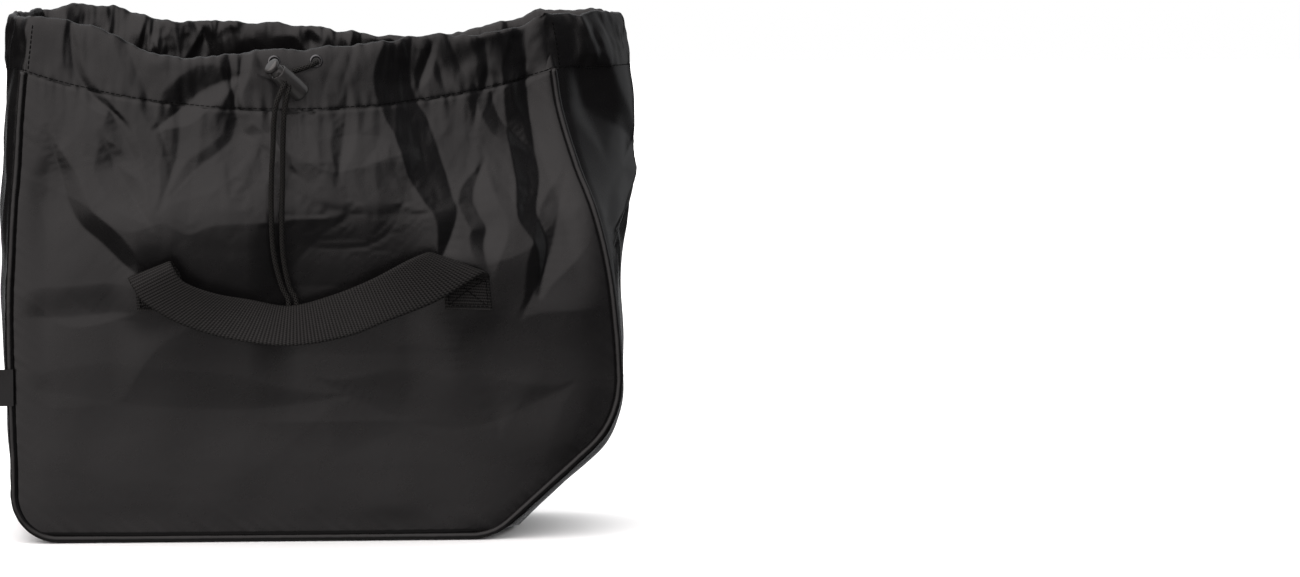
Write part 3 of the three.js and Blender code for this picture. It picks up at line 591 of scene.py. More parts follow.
# The panels.
def panel(side, columns, rows):
    """A hung panel as a grid of points, with its flat cut and how firmly each point is held."""
    along = np.linspace(0, 1, columns + 1)[None]
    v = np.linspace(0, 1, rows + 1)[:, None] ** 0.85
    top = stitch_height(side, along) + SEAM_LAP
    z = lerp(PANEL_INSET, top, v)
    along = np.broadcast_to(along, z.shape)
    points = panel_point(side, along, z, PANEL_INSET)
    x = points[..., 0]
    below = top - SEAM_LAP - z
    edge = np.minimum(x - left_edge(z, PANEL_INSET), right_edge(z, PANEL_INSET) - x)
    edge = np.minimum(edge, z - PANEL_INSET)
    run = x + 1.3 * z
    tuck = falloff(below, 1.6) * 0.5
    ripple = noise(x / 6.5, z / 30, 41) * np.exp(-np.abs(below) / 11) * 1.1 * smoothstep(edge, 3, 14)
    seam_ripple = noise(run / 8, run / 90, 43) * np.exp(-edge / 9) * 0.4
    roll = 2.6 * falloff(edge, 1.3)
    points[..., 1] -= side * (tuck + ripple + seam_ripple + roll)
    held = np.maximum(falloff(edge, 4), falloff(below, 4))
    held = np.maximum(held, 1 - smoothstep(loose(x, z), 0.02, 0.3))
    held = np.maximum(held, lerp(LOW_HOLD, HIGH_HOLD, smoothstep(z, *HOLD_HEIGHTS)))
    return points, flat_cut(points), held


def flat_cut(points):
    """The flat cut of a sheet: every row as long as it is over its folds, and every column as high."""
    across = np.linalg.norm(np.diff(points, axis=1), axis=-1)
    lengths = np.cumsum(np.pad(across, ((0, 0), (1, 0))), axis=1)
    up = np.linalg.norm(np.diff(points, axis=0), axis=-1)
    heights = np.cumsum(np.pad(up, ((1, 0), (0, 0))), axis=0)
    x = lengths - lengths[:, -1:] / 2 + (points[:, :1, 0] + points[:, -1:, 0]) / 2
    z = points[:1, :, 2] + heights
    slack = CLOTH_SLACK * smoothstep(points[..., 2], *SLACK_HEIGHTS)
    return stacked(x * (1 + slack), points[..., 1].mean(), z)


def settled(side):
    """How far each point of a panel's coarse grid moves as the cloth settles under its weight."""
    points, cut, held = panel(side, *DRAPE_GRID)
    obj = bpy.data.objects.new("settling", mesh_of("settling", *grid(points, points[..., ::2])))
    scene = bpy.context.scene
    scene.collection.objects.link(obj)
    pins = obj.vertex_groups.new(name="held")
    for i, weight in enumerate(held.ravel()):
        pins.add([i], float(weight), "REPLACE")
    obj.shape_key_add(name="hung")
    key = obj.shape_key_add(name="cut")
    key.data.foreach_set("co", (cut * MM).astype(np.float32).ravel())
    cloth = obj.modifiers.new("drape", "CLOTH")
    for name, value in CLOTH.items():
        setattr(cloth.settings, name, value)
    cloth.settings.vertex_group_mass = "held"
    cloth.settings.rest_shape_key = key
    cloth.collision_settings.use_collision = False
    cloth.point_cache.frame_end = DRAPE_FRAMES
    for number in range(1, DRAPE_FRAMES + 1):
        scene.frame_set(number)
    bpy.context.view_layer.update()
    cloth_mesh = obj.evaluated_get(bpy.context.evaluated_depsgraph_get()).data
    places = np.empty(points.size, np.float32)
    cloth_mesh.vertices.foreach_get("co", places)
    bpy.data.objects.remove(obj)
    scene.frame_set(1)
    return places.reshape(points.shape) / MM - points


def finer(field, steps):
    """A grid of moves read smoothly at more rows and columns."""
    for _ in range(2):
        field = smooth_path(field.reshape(len(field), -1), steps).reshape(-1, *field.shape[1:])
        field = field.transpose(1, 0, 2)
    return field


# The seam between a panel and the gusset, seen from the front.
def seam_line(inset):
    """Places down the left side, under the bottom and up the right: x, z, outward x, z, and the puff."""
    places = []
    down = -math.pi / 2
    slant = down + CHAMFER_ANGLE
    left_centre = float(form("left", LEFT_CORNER_RADIUS)) + LEFT_CORNER_RADIUS

    def straight(x, z, out_x, out_z, puff):
        places.append(stacked(x, z, out_x, out_z, puff).astype(float))

    def arc(centre, radius, turn, puff):
        straight(centre[0] + radius * np.cos(turn), centre[1] + radius * np.sin(turn),
                 np.cos(turn), np.sin(turn), puff)

    z = np.linspace(STITCH_HEIGHT, LEFT_CORNER_RADIUS, 150)
    straight(left_edge(z, inset), z, -1, 0, form("left_puff", z))
    t = np.linspace(0, 1, 30)[1:-1]
    puff = float(form("left_puff", LEFT_CORNER_RADIUS))
    left_arc = (left_centre, LEFT_CORNER_RADIUS)
    arc(left_arc, LEFT_CORNER_RADIUS - inset, lerp(-math.pi, down, t), puff * (1 - t) ** 3)
    straight(np.linspace(left_centre, LOW_ARC[0], 150), inset, 0, -1, 0)
    arc(LOW_ARC, CHAMFER_LOW_RADIUS - inset, lerp(down, slant, t), CHAMFER_PUFF * t**3)
    t_slant = np.linspace(0, 1, 50)
    out = np.array([math.cos(slant), math.sin(slant)])
    low = np.array(LOW_ARC) + (CHAMFER_LOW_RADIUS - inset) * out
    high = np.array(HIGH_ARC) + (CHAMFER_HIGH_RADIUS - inset) * out
    straight(lerp(low[0], high[0], t_slant), lerp(low[1], high[1], t_slant), out[0], out[1], CHAMFER_PUFF)
    right_puff = float(form("right_puff", HIGH_ARC[1]))
    puff = lerp(CHAMFER_PUFF, right_puff, smoothstep(t, 0, 1))
    arc(HIGH_ARC, CHAMFER_HIGH_RADIUS - inset, lerp(slant, 0, t), puff)
    z = np.linspace(HIGH_ARC[1], STITCH_HEIGHT, 130)
    straight(right_edge(z, inset), z, 1, 0, form("right_puff", z))
    return np.vstack(places)


def half_depth(line):
    return np.where(line[:, 0] < 0, form("left_half", line[:, 1]), form("right_half", line[:, 1]))


def gusset():
    line = seam_line(0)
    line[[0, -1], 1] += SEAM_LAP
    half = half_depth(line)[:, None]
    reach = half - SEAM_LAP
    across = np.linspace(0, 1, GUSSET_ACROSS + 1)
    y = lerp(-reach, reach, across[None])
    z = np.broadcast_to(line[:, 1:2], y.shape)
    seam_y = y * half / reach
    right = smoothstep(line[:, 1:2], HIGH_ARC[1] - 20, HIGH_ARC[1] + 30) * (line[:, 0:1] > 0)
    left = smoothstep(line[:, 1:2], LEFT_CORNER_RADIUS, LEFT_CORNER_RADIUS + 60) * (line[:, 0:1] < 0)
    plain = line[:, 4:5] * bulge(across[None])
    out = plain + right * (side_out("right", seam_y, z) - plain)
    out = out + left * (side_out("left", seam_y, z) - plain)
    run = path_lengths(line[:, :2])[:, None]
    edge = np.minimum(y + reach, reach - y)
    bottom = smoothstep(-line[:, 3:4], 0.8, 0.98)
    ripple = noise(run / 9, edge / 20, 51) * np.exp(-edge / 9) * 0.7
    soft = noise(run / 45, y / 45, 52) * 1.6 * np.clip(edge / 20, 0, 1)
    below_casing = 1 - smoothstep(z, STITCH_HEIGHT - 30, STITCH_HEIGHT - 2)
    ripple, soft = ripple * below_casing, soft * below_casing
    out = out + (ripple + soft) * (1 - bottom) - bottom * np.abs(ripple + soft)
    out = out - 2.2 * falloff(edge, 1.4) * (1 - 0.5 * bottom)
    points = stacked(line[:, 0:1] + out * line[:, 2:3], y, z + out * line[:, 3:4])
    return grid(points, stacked(run, y))


def piping(side):
    line = seam_line(PIPING_RADIUS)
    run = path_lengths(line[:, :2])
    wander = 0.35 * noise(run / 30, side * 3.3, 61)
    path = stacked(line[:, 0], side * (half_depth(line) + wander), line[:, 1])
    turn = full_turn(PIPING_SIDES)
    radius = PIPING_RADIUS - 0.25 + 0.16 * noise(run[:, None] / 5, turn[None] * 0.8, 62)
    return tube(path, radius, PIPING_SIDES)


# The casing.
def mouth_point(around, height):
    """A point on the mouth, from the front left corner: front 0 to 1, right to 2, rear to 3, left to 4."""
    around, height = np.broadcast_arrays(np.asarray(around, float) % 4, height)
    sides = np.floor(around).astype(int)
    points = np.empty(around.shape + (3,))
    for side in range(4):
        here = sides == side
        if not here.any():
            continue
        t, share = around[here] - side, height[here]
        if side % 2 == 0:
            facing, along = (-1, t) if side == 0 else (1, 1 - t)
            rise = read(CASING, "along", wall_name(facing), along)
            z = stitch_height(facing, along) + share * rise
            points[here] = panel_point(facing, along, z, PIPING_RADIUS)
        else:
            right = side == 1
            z = STITCH_HEIGHT + share * CASING_RISE
            wall = "right" if right else "left"
            half = form(wall + "_half", z)
            y = lerp(-half, half, t if right else 1 - t)
            out = side_out(wall, y, z)
            inset = PIPING_RADIUS * (1 - inside(t, 0.12))
            edge = right_edge(z, inset) + out if right else left_edge(z, inset) - out
            points[here] = stacked(edge, y, z)
    return points


def mouth_out(around):
    """Direction out of the bag at places round the mouth."""
    step = 0.02
    run = mouth_point(around + step, 0.5) - mouth_point(around - step, 0.5)
    out = np.stack([run[..., 1], -run[..., 0], np.zeros(run.shape[:-1])], -1)
    return out / np.linalg.norm(out, axis=-1, keepdims=True)


MOUTH = np.concatenate([s + np.arange(n) / n for s, n in enumerate(CASING_STATIONS)])
MOUTH_RUN = path_lengths(np.vstack([mouth_point(MOUTH, 0.4), mouth_point(MOUTH[:1], 0.4)]))


# The gathers of the front, right, rear and left: how far they stand out, their pitch and their creases.
GATHER_SIZE = np.array([0.8, 3, 2.6, 3])
GATHER_PITCH = np.array([17, 15, 15, 15])
GATHER_CREASES = np.array([0.4, 1.1, 1.7, 1.1])
# The place between the eyelets, and about how long a side is at each corner.
EYELET_MIDDLE = 0.475
CORNER_SIDE = np.array([420, 120, 420, 165])


def mouth_run(around):
    """Distance round the mouth from the front left corner."""
    return np.interp(around % 4, np.append(MOUTH, 4), MOUTH_RUN)


def from_corner(around):
    """Share of a side from the nearest corner."""
    return np.abs((around + 0.5) % 1 - 0.5)


def gather(around, height):
    """How far the gathers on the cord push the casing out."""
    around = around % 4
    run = mouth_run(around)
    side = np.floor(around).astype(int)
    size = GATHER_SIZE[side] * smoothstep(from_corner(around), 0.0, 0.08)
    eyelets = smoothstep(np.abs(around - EYELET_MIDDLE), 0.045, 0.1)
    lean = 0.9 * noise(run / 34, 0.5, 71)
    pitch = GATHER_PITCH[side]
    fold = np.abs(noise(run / pitch + lean * height * 2, height * 0.9, 72))
    fine = np.abs(noise(run / (0.45 * pitch) - lean * height, height * 1.6 + 7, 73))
    wave = 1.5 * (fold - 0.28) + 0.4 * (fine - 0.28)
    creases = GATHER_CREASES[side] * facets(run, 42 * height, 11, 76) * smoothstep(height, 0, 0.3)
    return eyelets * (size * (0.18 + 0.82 * height**0.8) * wave + creases)


# The casing cut across, as share of its height and distance out: up its outer face and down its inner one.
CASING_SECTION = [
    (0, -0.5), (0.05, 0.1), (0.2, 0.3), (0.42, 0.6), (0.72, 1.4), (0.9, 1.3), (0.985, 0.2), (1, -1.3),
    (0.985, -2.8), (0.9, -4.4), (0.72, -4.8), (0.42, -3.2), (0.2, -1.8), (0, -1.0),
]
# How many of those rows are the outer face's.
CASING_TOP = 8


def casing_point(around, height, out):
    """A place in the casing: share of its height, and distance out from its middle."""
    around, height = np.broadcast_arrays(around, height)
    run = mouth_run(around)
    points = mouth_point(around, height)
    points[..., 2] += height**2 * (2.6 * noise(run / 19, 0.3, 74) + 1.1 * noise(run / 6.5, 0.7, 75))
    low = noise(run / 6.5, 0.2, 41) * np.exp(-height * 5) * 0.9
    distance = out + gather(around, height) - low
    return points + mouth_out(around) * distance[..., None]


def casing_face(around, height, lift):
    """A point on the outer face of the casing, or lifted off it."""
    section = np.array(CASING_SECTION[:CASING_TOP])
    return casing_point(around, height, np.interp(height, section[:, 0], section[:, 1]) + lift)


def casing():
    section = smooth_path(CASING_SECTION, 4)
    lengths = path_lengths(section * [CASING_RISE, 1])
    even = np.linspace(0, lengths[-1], CASING_ACROSS + 1)
    height = np.interp(even, lengths, section[:, 0])
    out = np.interp(even, lengths, section[:, 1])
    corner_run = from_corner(MOUTH) * CORNER_SIDE[np.floor(MOUTH + 0.5).astype(int) % 4]
    groove = 1.3 * falloff(corner_run, 2.2)
    points = casing_point(MOUTH[:, None], height[None], out[None] - np.sign(out)[None] * groove[:, None])
    return grid(points, stacked(MOUTH_RUN[:, None], even[None]), wrap=True)


def mouth_share(x):
    """Share of the front's width at an x on the casing."""
    z = STITCH_HEIGHT + 8.0
    left, right = left_edge(z, PIPING_RADIUS), right_edge(z, PIPING_RADIUS)
    return float((x - left) / (right - left))


def cord_in_casing():
    """The drawcord's path inside the casing, from beside one eyelet round to beside the other."""
    near = mouth_share(EYELET_X["right"] + EYELET_CLEARANCE)
    far = mouth_share(EYELET_X["left"] - EYELET_CLEARANCE)
    stations = np.concatenate([MOUTH[MOUTH > near], MOUTH[MOUTH < far] + 4])[::3]
    return casing_point(stations, CORD_LEVEL, CORD_OUT)


# Stitching.
def stitched(path, outward, stitch):
    """A row of stitches along a path, each bowed out of the cloth and going into it at both ends."""
    lengths = path_lengths(path)
    along = np.linspace(0, 1, 6)
    bow = (stitch.radius * (1.6 * np.sin(math.pi * along) - 0.8))[:, None]
    parts = []
    for start in np.arange(0, lengths[-1] - stitch.length, stitch.pitch):
        at = start + along * stitch.length
        line = along_path(path, lengths, at) + along_path(outward, lengths, at) * bow
        parts.append(tube(line, stitch.radius, 6))
    return merge(parts)


def casing_stitches():
    """The casing's lower seam all the way round, and its four upright corner seams."""
    around = np.append(MOUTH, 4)
    parts = [stitched(casing_face(around, HEM_LEVEL, 0.25), mouth_out(around), HEM_STITCH)]
    height = np.linspace(0.08, 0.9, 40)
    for corner in CORNER_SEAMS:
        around = np.full(height.shape, corner)
        parts.append(stitched(casing_face(around, height, 0.2), mouth_out(around), CORNER_STITCH))
    return merge(parts)


def handle_stitches(side):
    """A box and a cross at each sewn end of a handle."""
    def line(start, end):
        t = np.linspace(0, 1, 30)
        at, across = lerp(start[0], end[0], t), lerp(start[1], end[1], t)
        path = handle_point(side, at, across, WEBBING_THICK + 0.15)
        return stitched(path, np.tile([0.0, side, 0.0], (len(t), 1)), HANDLE_STITCH)

    parts = []
    for low, high in ((0.12, 0.98), (HANDLE_END - 0.98, HANDLE_END - 0.12)):
        corners = [(low, 0.08), (low, 0.92), (high, 0.92), (high, 0.08)]
        for a, b in ((0, 1), (1, 2), (2, 3), (3, 0), (0, 2), (1, 3)):
            parts.append(line(corners[a], corners[b]))
    return merge(parts)


# Round pieces.
def lathe(profile, sides, ends=False):
    """Points and faces of a profile of radius, height turned round its axis, with flat ends if asked for."""
    radius, height = np.array(profile, float).T[..., None]
    turn = full_turn(sides)
    points = stacked(radius * np.cos(turn), radius * np.sin(turn), height)
    return points.reshape(-1, 3), ring_faces(len(profile), sides, ends)


def turned(points, x_axis, y_axis, z_axis, origin):
    """Points in a local frame moved into the bag's."""
    return points @ np.array([x_axis, y_axis, z_axis], float) + np.array(origin, float)


def eyelet(x):
    along = mouth_share(x)
    out = mouth_out(np.array([along]))[0]
    place = casing_face(np.array([along]), np.array([CORD_LEVEL]), 0.2)[0]
    bore, flange = EYELET_BORE, EYELET_FLANGE
    profile = [(bore, -2.4), (bore, 0.3), (bore + 0.25, 0.9), (bore + 0.8, 1.3), (bore + 1.4, 1.2),
               (flange - 0.3, 0.7), (flange, 0.25), (flange, 0), (flange - 0.4, -0.3)]
    points, faces = lathe(profile, EYELET_SIDES)
    side = np.cross([0, 0, 1], out)
    return turned(points, side, np.cross(out, side), out, place), faces


def lock_frame():
    """The cord lock's own directions: across, through its hole, and along its axis, with its closed end."""
    through = np.array([0, -math.cos(LOCK_DROP), -math.sin(LOCK_DROP)])
    axis = np.array([LOCK_AXIS[0], -LOCK_AXIS[1] * math.tan(LOCK_DROP), LOCK_AXIS[1]])
    axis /= np.linalg.norm(axis)
    origin = np.array(LOCK_HOLE, float) - axis * LOCK_HOLE_HEIGHT
    return np.cross(axis, through), through, axis, origin


def cut_slot(obj, low, high):
    """A long hole with round ends through the lock."""
    radius = LOCK_SLOT_WIDTH / 2
    turn = np.linspace(0, math.pi, 13)
    top = stacked(radius * np.cos(turn), high - radius + radius * np.sin(turn))
    bottom = stacked(-radius * np.cos(turn), low + radius - radius * np.sin(turn))
    outline = np.vstack([top, bottom])
    count = len(outline)
    local = np.vstack([stacked(outline[:, 0], depth, outline[:, 1]) for depth in (-20, 20)])
    points = turned(local, *lock_frame())
    faces = [list(range(count)), list(range(2 * count - 1, count - 1, -1))]
    faces += [[i, i + count, (i + 1) % count + count, (i + 1) % count] for i in range(count)]
    tool = bpy.data.objects.new("slot_tool", mesh_of("slot_tool", points, faces))
    bpy.context.scene.collection.objects.link(tool)
    cut = obj.modifiers.new("slot", "BOOLEAN")
    cut.object = tool
    cut.solver = "EXACT"
    apply_modifiers(obj)
    bpy.data.objects.remove(tool)


def apply_modifiers(obj):
    """The object's mesh with its modifiers worked in."""
    bpy.context.view_layer.update()
    mesh = bpy.data.meshes.new_from_object(obj.evaluated_get(bpy.context.evaluated_depsgraph_get()))
    obj.modifiers.clear()
    obj.data = mesh


# Materials.
def set_inputs(tree, node, inputs):
    """Sets a node's inputs to values, or links them to other nodes' outputs."""
    for name, value in inputs.items():
        if isinstance(value, bpy.types.NodeSocket):
            tree.links.new(value, node.inputs[name])
        else:
            node.inputs[name].default_value = value


def add_node(tree, kind, inputs, **settings):
    node = tree.nodes.new("ShaderNode" + kind)
    for name, value in settings.items():
        setattr(node, name, value)
    set_inputs(tree, node, inputs)
    return node


class Shader:
    """A procedural material being wired up."""

    def __init__(self, name, colour, roughness, **constants):
        self.material = bpy.data.materials.new(name)
        self.material.use_nodes = True
        self.tree = self.material.node_tree
        self.surface = self.tree.nodes["Principled BSDF"]
        self.set({"Base Color": (*colour, 1), "Roughness": roughness, **constants})

    def set(self, inputs):
        set_inputs(self.tree, self.surface, inputs)

    def math(self, operation, a, b=0.0):
        return add_node(self.tree, "Math", {0: a, 1: b}, operation=operation).outputs[0]

    def flat(self):
        """The sheet's own flat coordinates in metres: across, along."""
        coordinates = add_node(self.tree, "TexCoord", {}).outputs["UV"]
        split = add_node(self.tree, "SeparateXYZ", {0: coordinates})
        return split.outputs["X"], split.outputs["Y"]

    def noise(self, scale, detail=2.0):
        place = add_node(self.tree, "TexCoord", {}).outputs["Object"]
        inputs = {"Vector": place, "Scale": scale, "Detail": detail}
        return add_node(self.tree, "TexNoise", inputs).outputs["Fac"]

    def spread(self, value, low, high):
        """The middle half of a value from 0 to 1, moved to run from low to high."""
        inputs = {"Value": value, "From Min": 0.25, "From Max": 0.75, "To Min": low, "To Max": high}
        return add_node(self.tree, "MapRange", inputs).outputs[0]

    def waves(self, value, pitch):
        return self.math("SINE", self.math("MULTIPLY", value, 2 * math.pi / pitch))

    def colours(self, factor, dark, light):
        inputs = {"Factor": factor, "A": (*dark, 1), "B": (*light, 1)}
        self.set({"Base Color": add_node(self.tree, "Mix", inputs, data_type="RGBA").outputs["Result"]})

    def roughness(self, scale, detail, low, high):
        self.set({"Roughness": self.spread(self.noise(scale, detail), low, high)})

    def bump(self, height, distance, strength):
        inputs = {"Height": height, "Distance": distance, "Strength": strength}
        before = self.surface.inputs["Normal"]
        if before.is_linked:
            inputs["Normal"] = before.links[0].from_socket
        self.set({"Normal": add_node(self.tree, "Bump", inputs).outputs[0]})


def nylon():
    shader = Shader("nylon", (0.0085, 0.0081, 0.0085), 0.33, **{"Sheen Weight": 0.02, "Sheen Roughness": 0.4})
    shader.colours(shader.noise(14, 3), (0.0072, 0.007, 0.0074), (0.0096, 0.0092, 0.0095))
    shader.roughness(60, 4, 0.22, 0.3)
    shader.bump(shader.noise(130, 4), 0.0003, 0.15)
    shader.bump(shader.noise(700, 2), 0.0001, 0.3)
    across, along = shader.flat()
    weave = shader.math("MULTIPLY", shader.waves(across, 0.0009), shader.waves(along, 0.0009))
    shader.bump(weave, 0.00004, 0.35)
    return shader.material


def webbing():
    shader = Shader("webbing", (0.016, 0.016, 0.0165), 0.6, **{"Specular IOR Level": 0.15})
    across, along = shader.flat()
    rib = shader.waves(along, WEBBING_RIB * MM)
    yarn = shader.math("MULTIPLY", shader.waves(across, 0.0019), shader.waves(along, 2 * WEBBING_RIB * MM))
    # Painted shade in the grooves between ribs and yarns and a painted highlight on their crests, following
    # the same waves as the bumped ribs; the webbing itself is one black.
    painted_rib_shade = shader.math("ADD", shader.math("MULTIPLY", rib, 0.3), shader.math("MULTIPLY", yarn, 0.2))
    shader.colours(shader.math("ADD", painted_rib_shade, 0.5), (0.001, 0.001, 0.0011), (0.047, 0.046, 0.045))
    shader.roughness(300, 3, 0.5, 0.7)
    shader.bump(yarn, 0.00025, 0.7)
    return shader.material


def braid():
    shader = Shader("braid", (0.012, 0.012, 0.0125), 0.6, **{"Specular IOR Level": 0.1})
    across, along = shader.flat()
    lean = shader.math("MULTIPLY", across, 1.1)
    over = shader.waves(shader.math("ADD", along, lean), 0.0026)
    under = shader.waves(shader.math("SUBTRACT", along, lean), 0.0026)
    plait_bump_and_shade = shader.math("MAXIMUM", over, under)
    # Painted shade in the gaps between the strands and a painted highlight on their crowns; the cord itself
    # is one black.
    shader.colours(shader.spread(plait_bump_and_shade, 0.0, 1.0), (0.001, 0.001, 0.0011), (0.046, 0.045, 0.043))
    shader.bump(plait_bump_and_shade, 0.0004, 0.8)
    return shader.material


def plastic():
    shader = Shader("plastic", (0.2, 0.195, 0.19), 0.3, **{"Metallic": 0.55})
    shader.colours(shader.noise(220, 3), (0.095, 0.094, 0.093), (0.14, 0.138, 0.136))
    shader.roughness(500, 4, 0.17, 0.27)
    shader.bump(shader.noise(1800, 3), 0.0001, 0.2)
    return shader.material


def black_metal():
    shader = Shader("black_metal", (0.11, 0.11, 0.115), 0.16, **{"Metallic": 0.85, "Coat Weight": 0.6})
    shader.colours(shader.noise(400, 3), (0.08, 0.08, 0.085), (0.13, 0.13, 0.135))
    shader.roughness(700, 3, 0.1, 0.2)
    return shader.material


def thread():
    shader = Shader("thread", (0.004, 0.004, 0.0042), 0.6, **{"Specular IOR Level": 0.1})
    shader.colours(shader.noise(1200, 2), (0.002, 0.002, 0.0022), (0.008, 0.008, 0.0082))
    return shader.material


def woven_tape():
    shader = Shader("woven_tape", (0.01, 0.01, 0.0105), 0.6, **{"Sheen Weight": 0.15})
    across, along = shader.flat()
    weave = shader.math("MULTIPLY", shader.waves(across, 0.0006), shader.waves(along, 0.0006))
    shader.bump(weave, 0.00006, 0.5)
    shader.colours(shader.noise(500, 3), (0.007, 0.007, 0.0075), (0.014, 0.014, 0.0145))
    return shader.material


NYLON, WEB, BRAID, PLASTIC = nylon(), webbing(), braid(), plastic()
METAL, THREAD, TAPE = black_metal(), thread(), woven_tape()


def put(name, shape, material, node=None, body="bag"):
    """A finished piece from points, faces and UVs, riding on a body and standing in for a solid."""
    obj = bpy.data.objects.new(name, mesh_of(name, *shape))
    bpy.context.scene.collection.objects.link(obj)
    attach(obj, body)
    if node:
        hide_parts(node)
    obj.data.materials.append(material)
    return obj


# The drawcord.
def braided(path, radius):
    """A cord whose strands cross over and under each other."""
    lengths = path_lengths(path)
    even = np.linspace(0, lengths[-1], int(lengths[-1] / BRAID_STEP))
    path = along_path(path, lengths, even)
    turn = full_turn(CORD_SIDES)[None]
    twist = 2 * (even[:, None] * 2 * math.pi / BRAID_PITCH)
    over = np.maximum(np.sin(BRAID_STRANDS * turn + twist), np.sin(BRAID_STRANDS * turn - twist))
    return path, tube(path, radius * (0.93 + 0.09 * over), CORD_SIDES)


def strand(name, points):
    """A free end of the drawcord, which comes out of its eyelet at its second point."""
    path, shape = braided(smooth_path(points, 14), CORD_RADIUS)
    obj = put(name + "_cord", shape, BRAID, name)


def knot():
    """An overhand knot in cord, drawn tight."""
    t = np.linspace(0, 2 * math.pi, 160)
    trefoil = stacked(np.sin(t) + 2 * np.sin(2 * t), np.sin(3 * t) * 1.1, np.cos(t) - 2 * np.cos(2 * t))
    span = np.ptp(trefoil, axis=0)
    scale = (np.array(KNOT_SIZE) - 2 * CORD_RADIUS + 0.4) / span
    path = (trefoil - (trefoil.max(0) + trefoil.min(0)) / 2) * scale + KNOT_AT
    return braided(path, CORD_RADIUS)[1]


# The handles.
def handle_point(side, at, across, lift):
    """A point on a handle: row, share of the width from its upper edge, and height above its lower face."""
    def surface(row, share):
        def value(name):
            inner, outer = (read(HANDLE, "at", f"{edge}_{name}", row) for edge in ("inner", "outer"))
            return lerp(inner, outer, share)
        return above_smooth(side, value("x"), value("z"), value("out"))

    step = 0.02
    ahead = surface(np.minimum(at + step, HANDLE_END), across) - surface(np.maximum(at - step, 0), across)
    over = surface(at, across + step) - surface(at, across - step)
    out = np.cross(ahead, over) * -side
    out /= np.linalg.norm(out, axis=-1, keepdims=True)
    return surface(at, across) + out * np.asarray(lift)[..., None]


def handle(side):
    columns, rows = HANDLE_GRID
    even = np.linspace(0, HANDLE_END, 1200)
    lengths = path_lengths(handle_point(side, even, np.full(even.shape, 0.5), 0.0))
    run = np.linspace(0, lengths[-1], rows + 1)
    share = np.linspace(0, 1, columns + 1)
    at, across = np.broadcast_arrays(np.interp(run, lengths, even)[:, None], share[None])
    edge = np.minimum(share, 1 - share) * WEBBING_WIDTH
    thick = WEBBING_THICK * (0.25 + 0.75 * np.sqrt(np.clip(edge / 1.2, 0, 1)))
    rib = 0.2 * np.sin(2 * math.pi * run / WEBBING_RIB)[:, None] * np.clip(edge / 2, 0.3, 1)[None]
    upper = handle_point(side, at, across, WEBBING_THICK / 2 + thick / 2 + rib)
    lower = handle_point(side, at, across, WEBBING_THICK / 2 - thick / 2 - rib * 0.5)
    points = np.concatenate([upper, lower[:, ::-1]], 1).transpose(1, 0, 2)
    flat_across = np.concatenate([share, share[::-1], share[:1]]) * WEBBING_WIDTH
    return grid(points, stacked(flat_across[:, None], run[None]), wrap=True)


# The cord lock, as radius and height along its axis, and the tab.
BARREL = [
    (5.6, 0), (6.7, 0.2), (7.5, 0.8), (7.9, 1.8), (8, 3.2), (7.98, 9), (7.88, 14), (7.5, 20), (7.05, 26),
    (6.95, 27.2), (6.7, 27.8), (6.3, 28), (5.95, 27.7), (5.95, 2.6),
]
PLUNGER = [
    (5.2, 8.2), (5.5, 8.5), (5.5, 30.6), (5.1, 31.2), (5.1, 32.6), (5.6, 33.2), (6.4, 33.4), (6.75, 33.9),
    (6.8, 35), (6.6, 36.1), (6.0, 36.9), (5.0, 37.3), (3.6, 37.4),
]


def lock_piece(name, profile, travel, body):
    """A part of the lock, with a slot for the cords that is longer by its travel."""
    points, faces = lathe(profile, LOCK_SIDES, True)
    obj = put(name + "_moulded", (turned(points, *lock_frame()), faces), PLASTIC, name, body)
    cut_slot(obj, LOCK_HOLE_HEIGHT - LOCK_SLOT_REACH, LOCK_HOLE_HEIGHT + LOCK_SLOT_REACH + travel)
    obj.data.set_sharp_from_angle(angle=math.radians(40))


def tab():
    """A short length of tape folded in two, its fold outwards."""
    radius = TAB["thick"] / 2
    turn = np.linspace(math.pi / 2, 1.5 * math.pi, 9)
    width = TAB["right"] - TAB["left"]
    fold = stacked(radius + radius * np.cos(turn), radius * np.sin(turn))
    face = np.linspace(width, radius, 16)[:-1]
    front = stacked(face, radius)
    section = np.vstack([front, fold, front[::-1] * [1, -1]])
    z = np.linspace(TAB["low"], TAB["high"], 40)[:, None]
    curl = 0.5 * np.sin((z - TAB["low"]) / 9) * (1 - section[None, :, 0] / width)
    y = -form("left_half", TAB["low"]) - PIPING_RADIUS - TAB["gap"] - radius
    points = stacked(TAB["left"] + section[None, :, 0], y + section[None, :, 1] + curl, z)
    return grid(points, stacked(path_lengths(section)[None], z))


# Build the pieces.
def hung_panel(name, side):
    columns, rows = DRAPE_GRID
    points = panel(side, columns * PANEL_STEPS, rows * PANEL_STEPS)[0]
    points = points + finer(settled(side), PANEL_STEPS)
    if side > 0:
        points = points[:, ::-1]
    return put(name + "_cloth", grid(points, points[..., ::2]), NYLON, name)


panels = [hung_panel(f"{name}_panel", side) for name, side in SIDES.items()]
gusset_cloth = put("gusset_cloth", gusset(), NYLON, "gusset")
casing_cloth = put("casing_cloth", casing(), NYLON, "casing")
for name, side in SIDES.items():
    put(f"{name}_piping_cord", piping(side), NYLON, f"{name}_piping")
for name, side in SIDES.items():
    put(f"{name}_handle_webbing", handle(side), WEB, f"{name}_handle")
for name, x in EYELET_X.items():
    put(f"eyelet_{name}_ring", eyelet(x), METAL, f"eyelet_{name}")
put("drawcord_in_casing", tube(cord_in_casing(), CORD_RADIUS, 12), BRAID, "drawcord_loop")
tied = put("drawcord_knot_tied", knot(), BRAID, "drawcord_knot")
for name, points in STRANDS.items():
    strand(f"drawcord_{name}", points)
lock_piece("cord_lock_barrel", BARREL, 0, "bag")
lock_piece("cord_lock_plunger", PLUNGER, LOCK_TRAVEL, "plunger")
put("label_tab_tape", tab(), TAPE, "label_tab")
put("casing_stitches", casing_stitches(), THREAD)
for name, side in SIDES.items():
    put(f"{name}_handle_stitches", handle_stitches(side), THREAD)


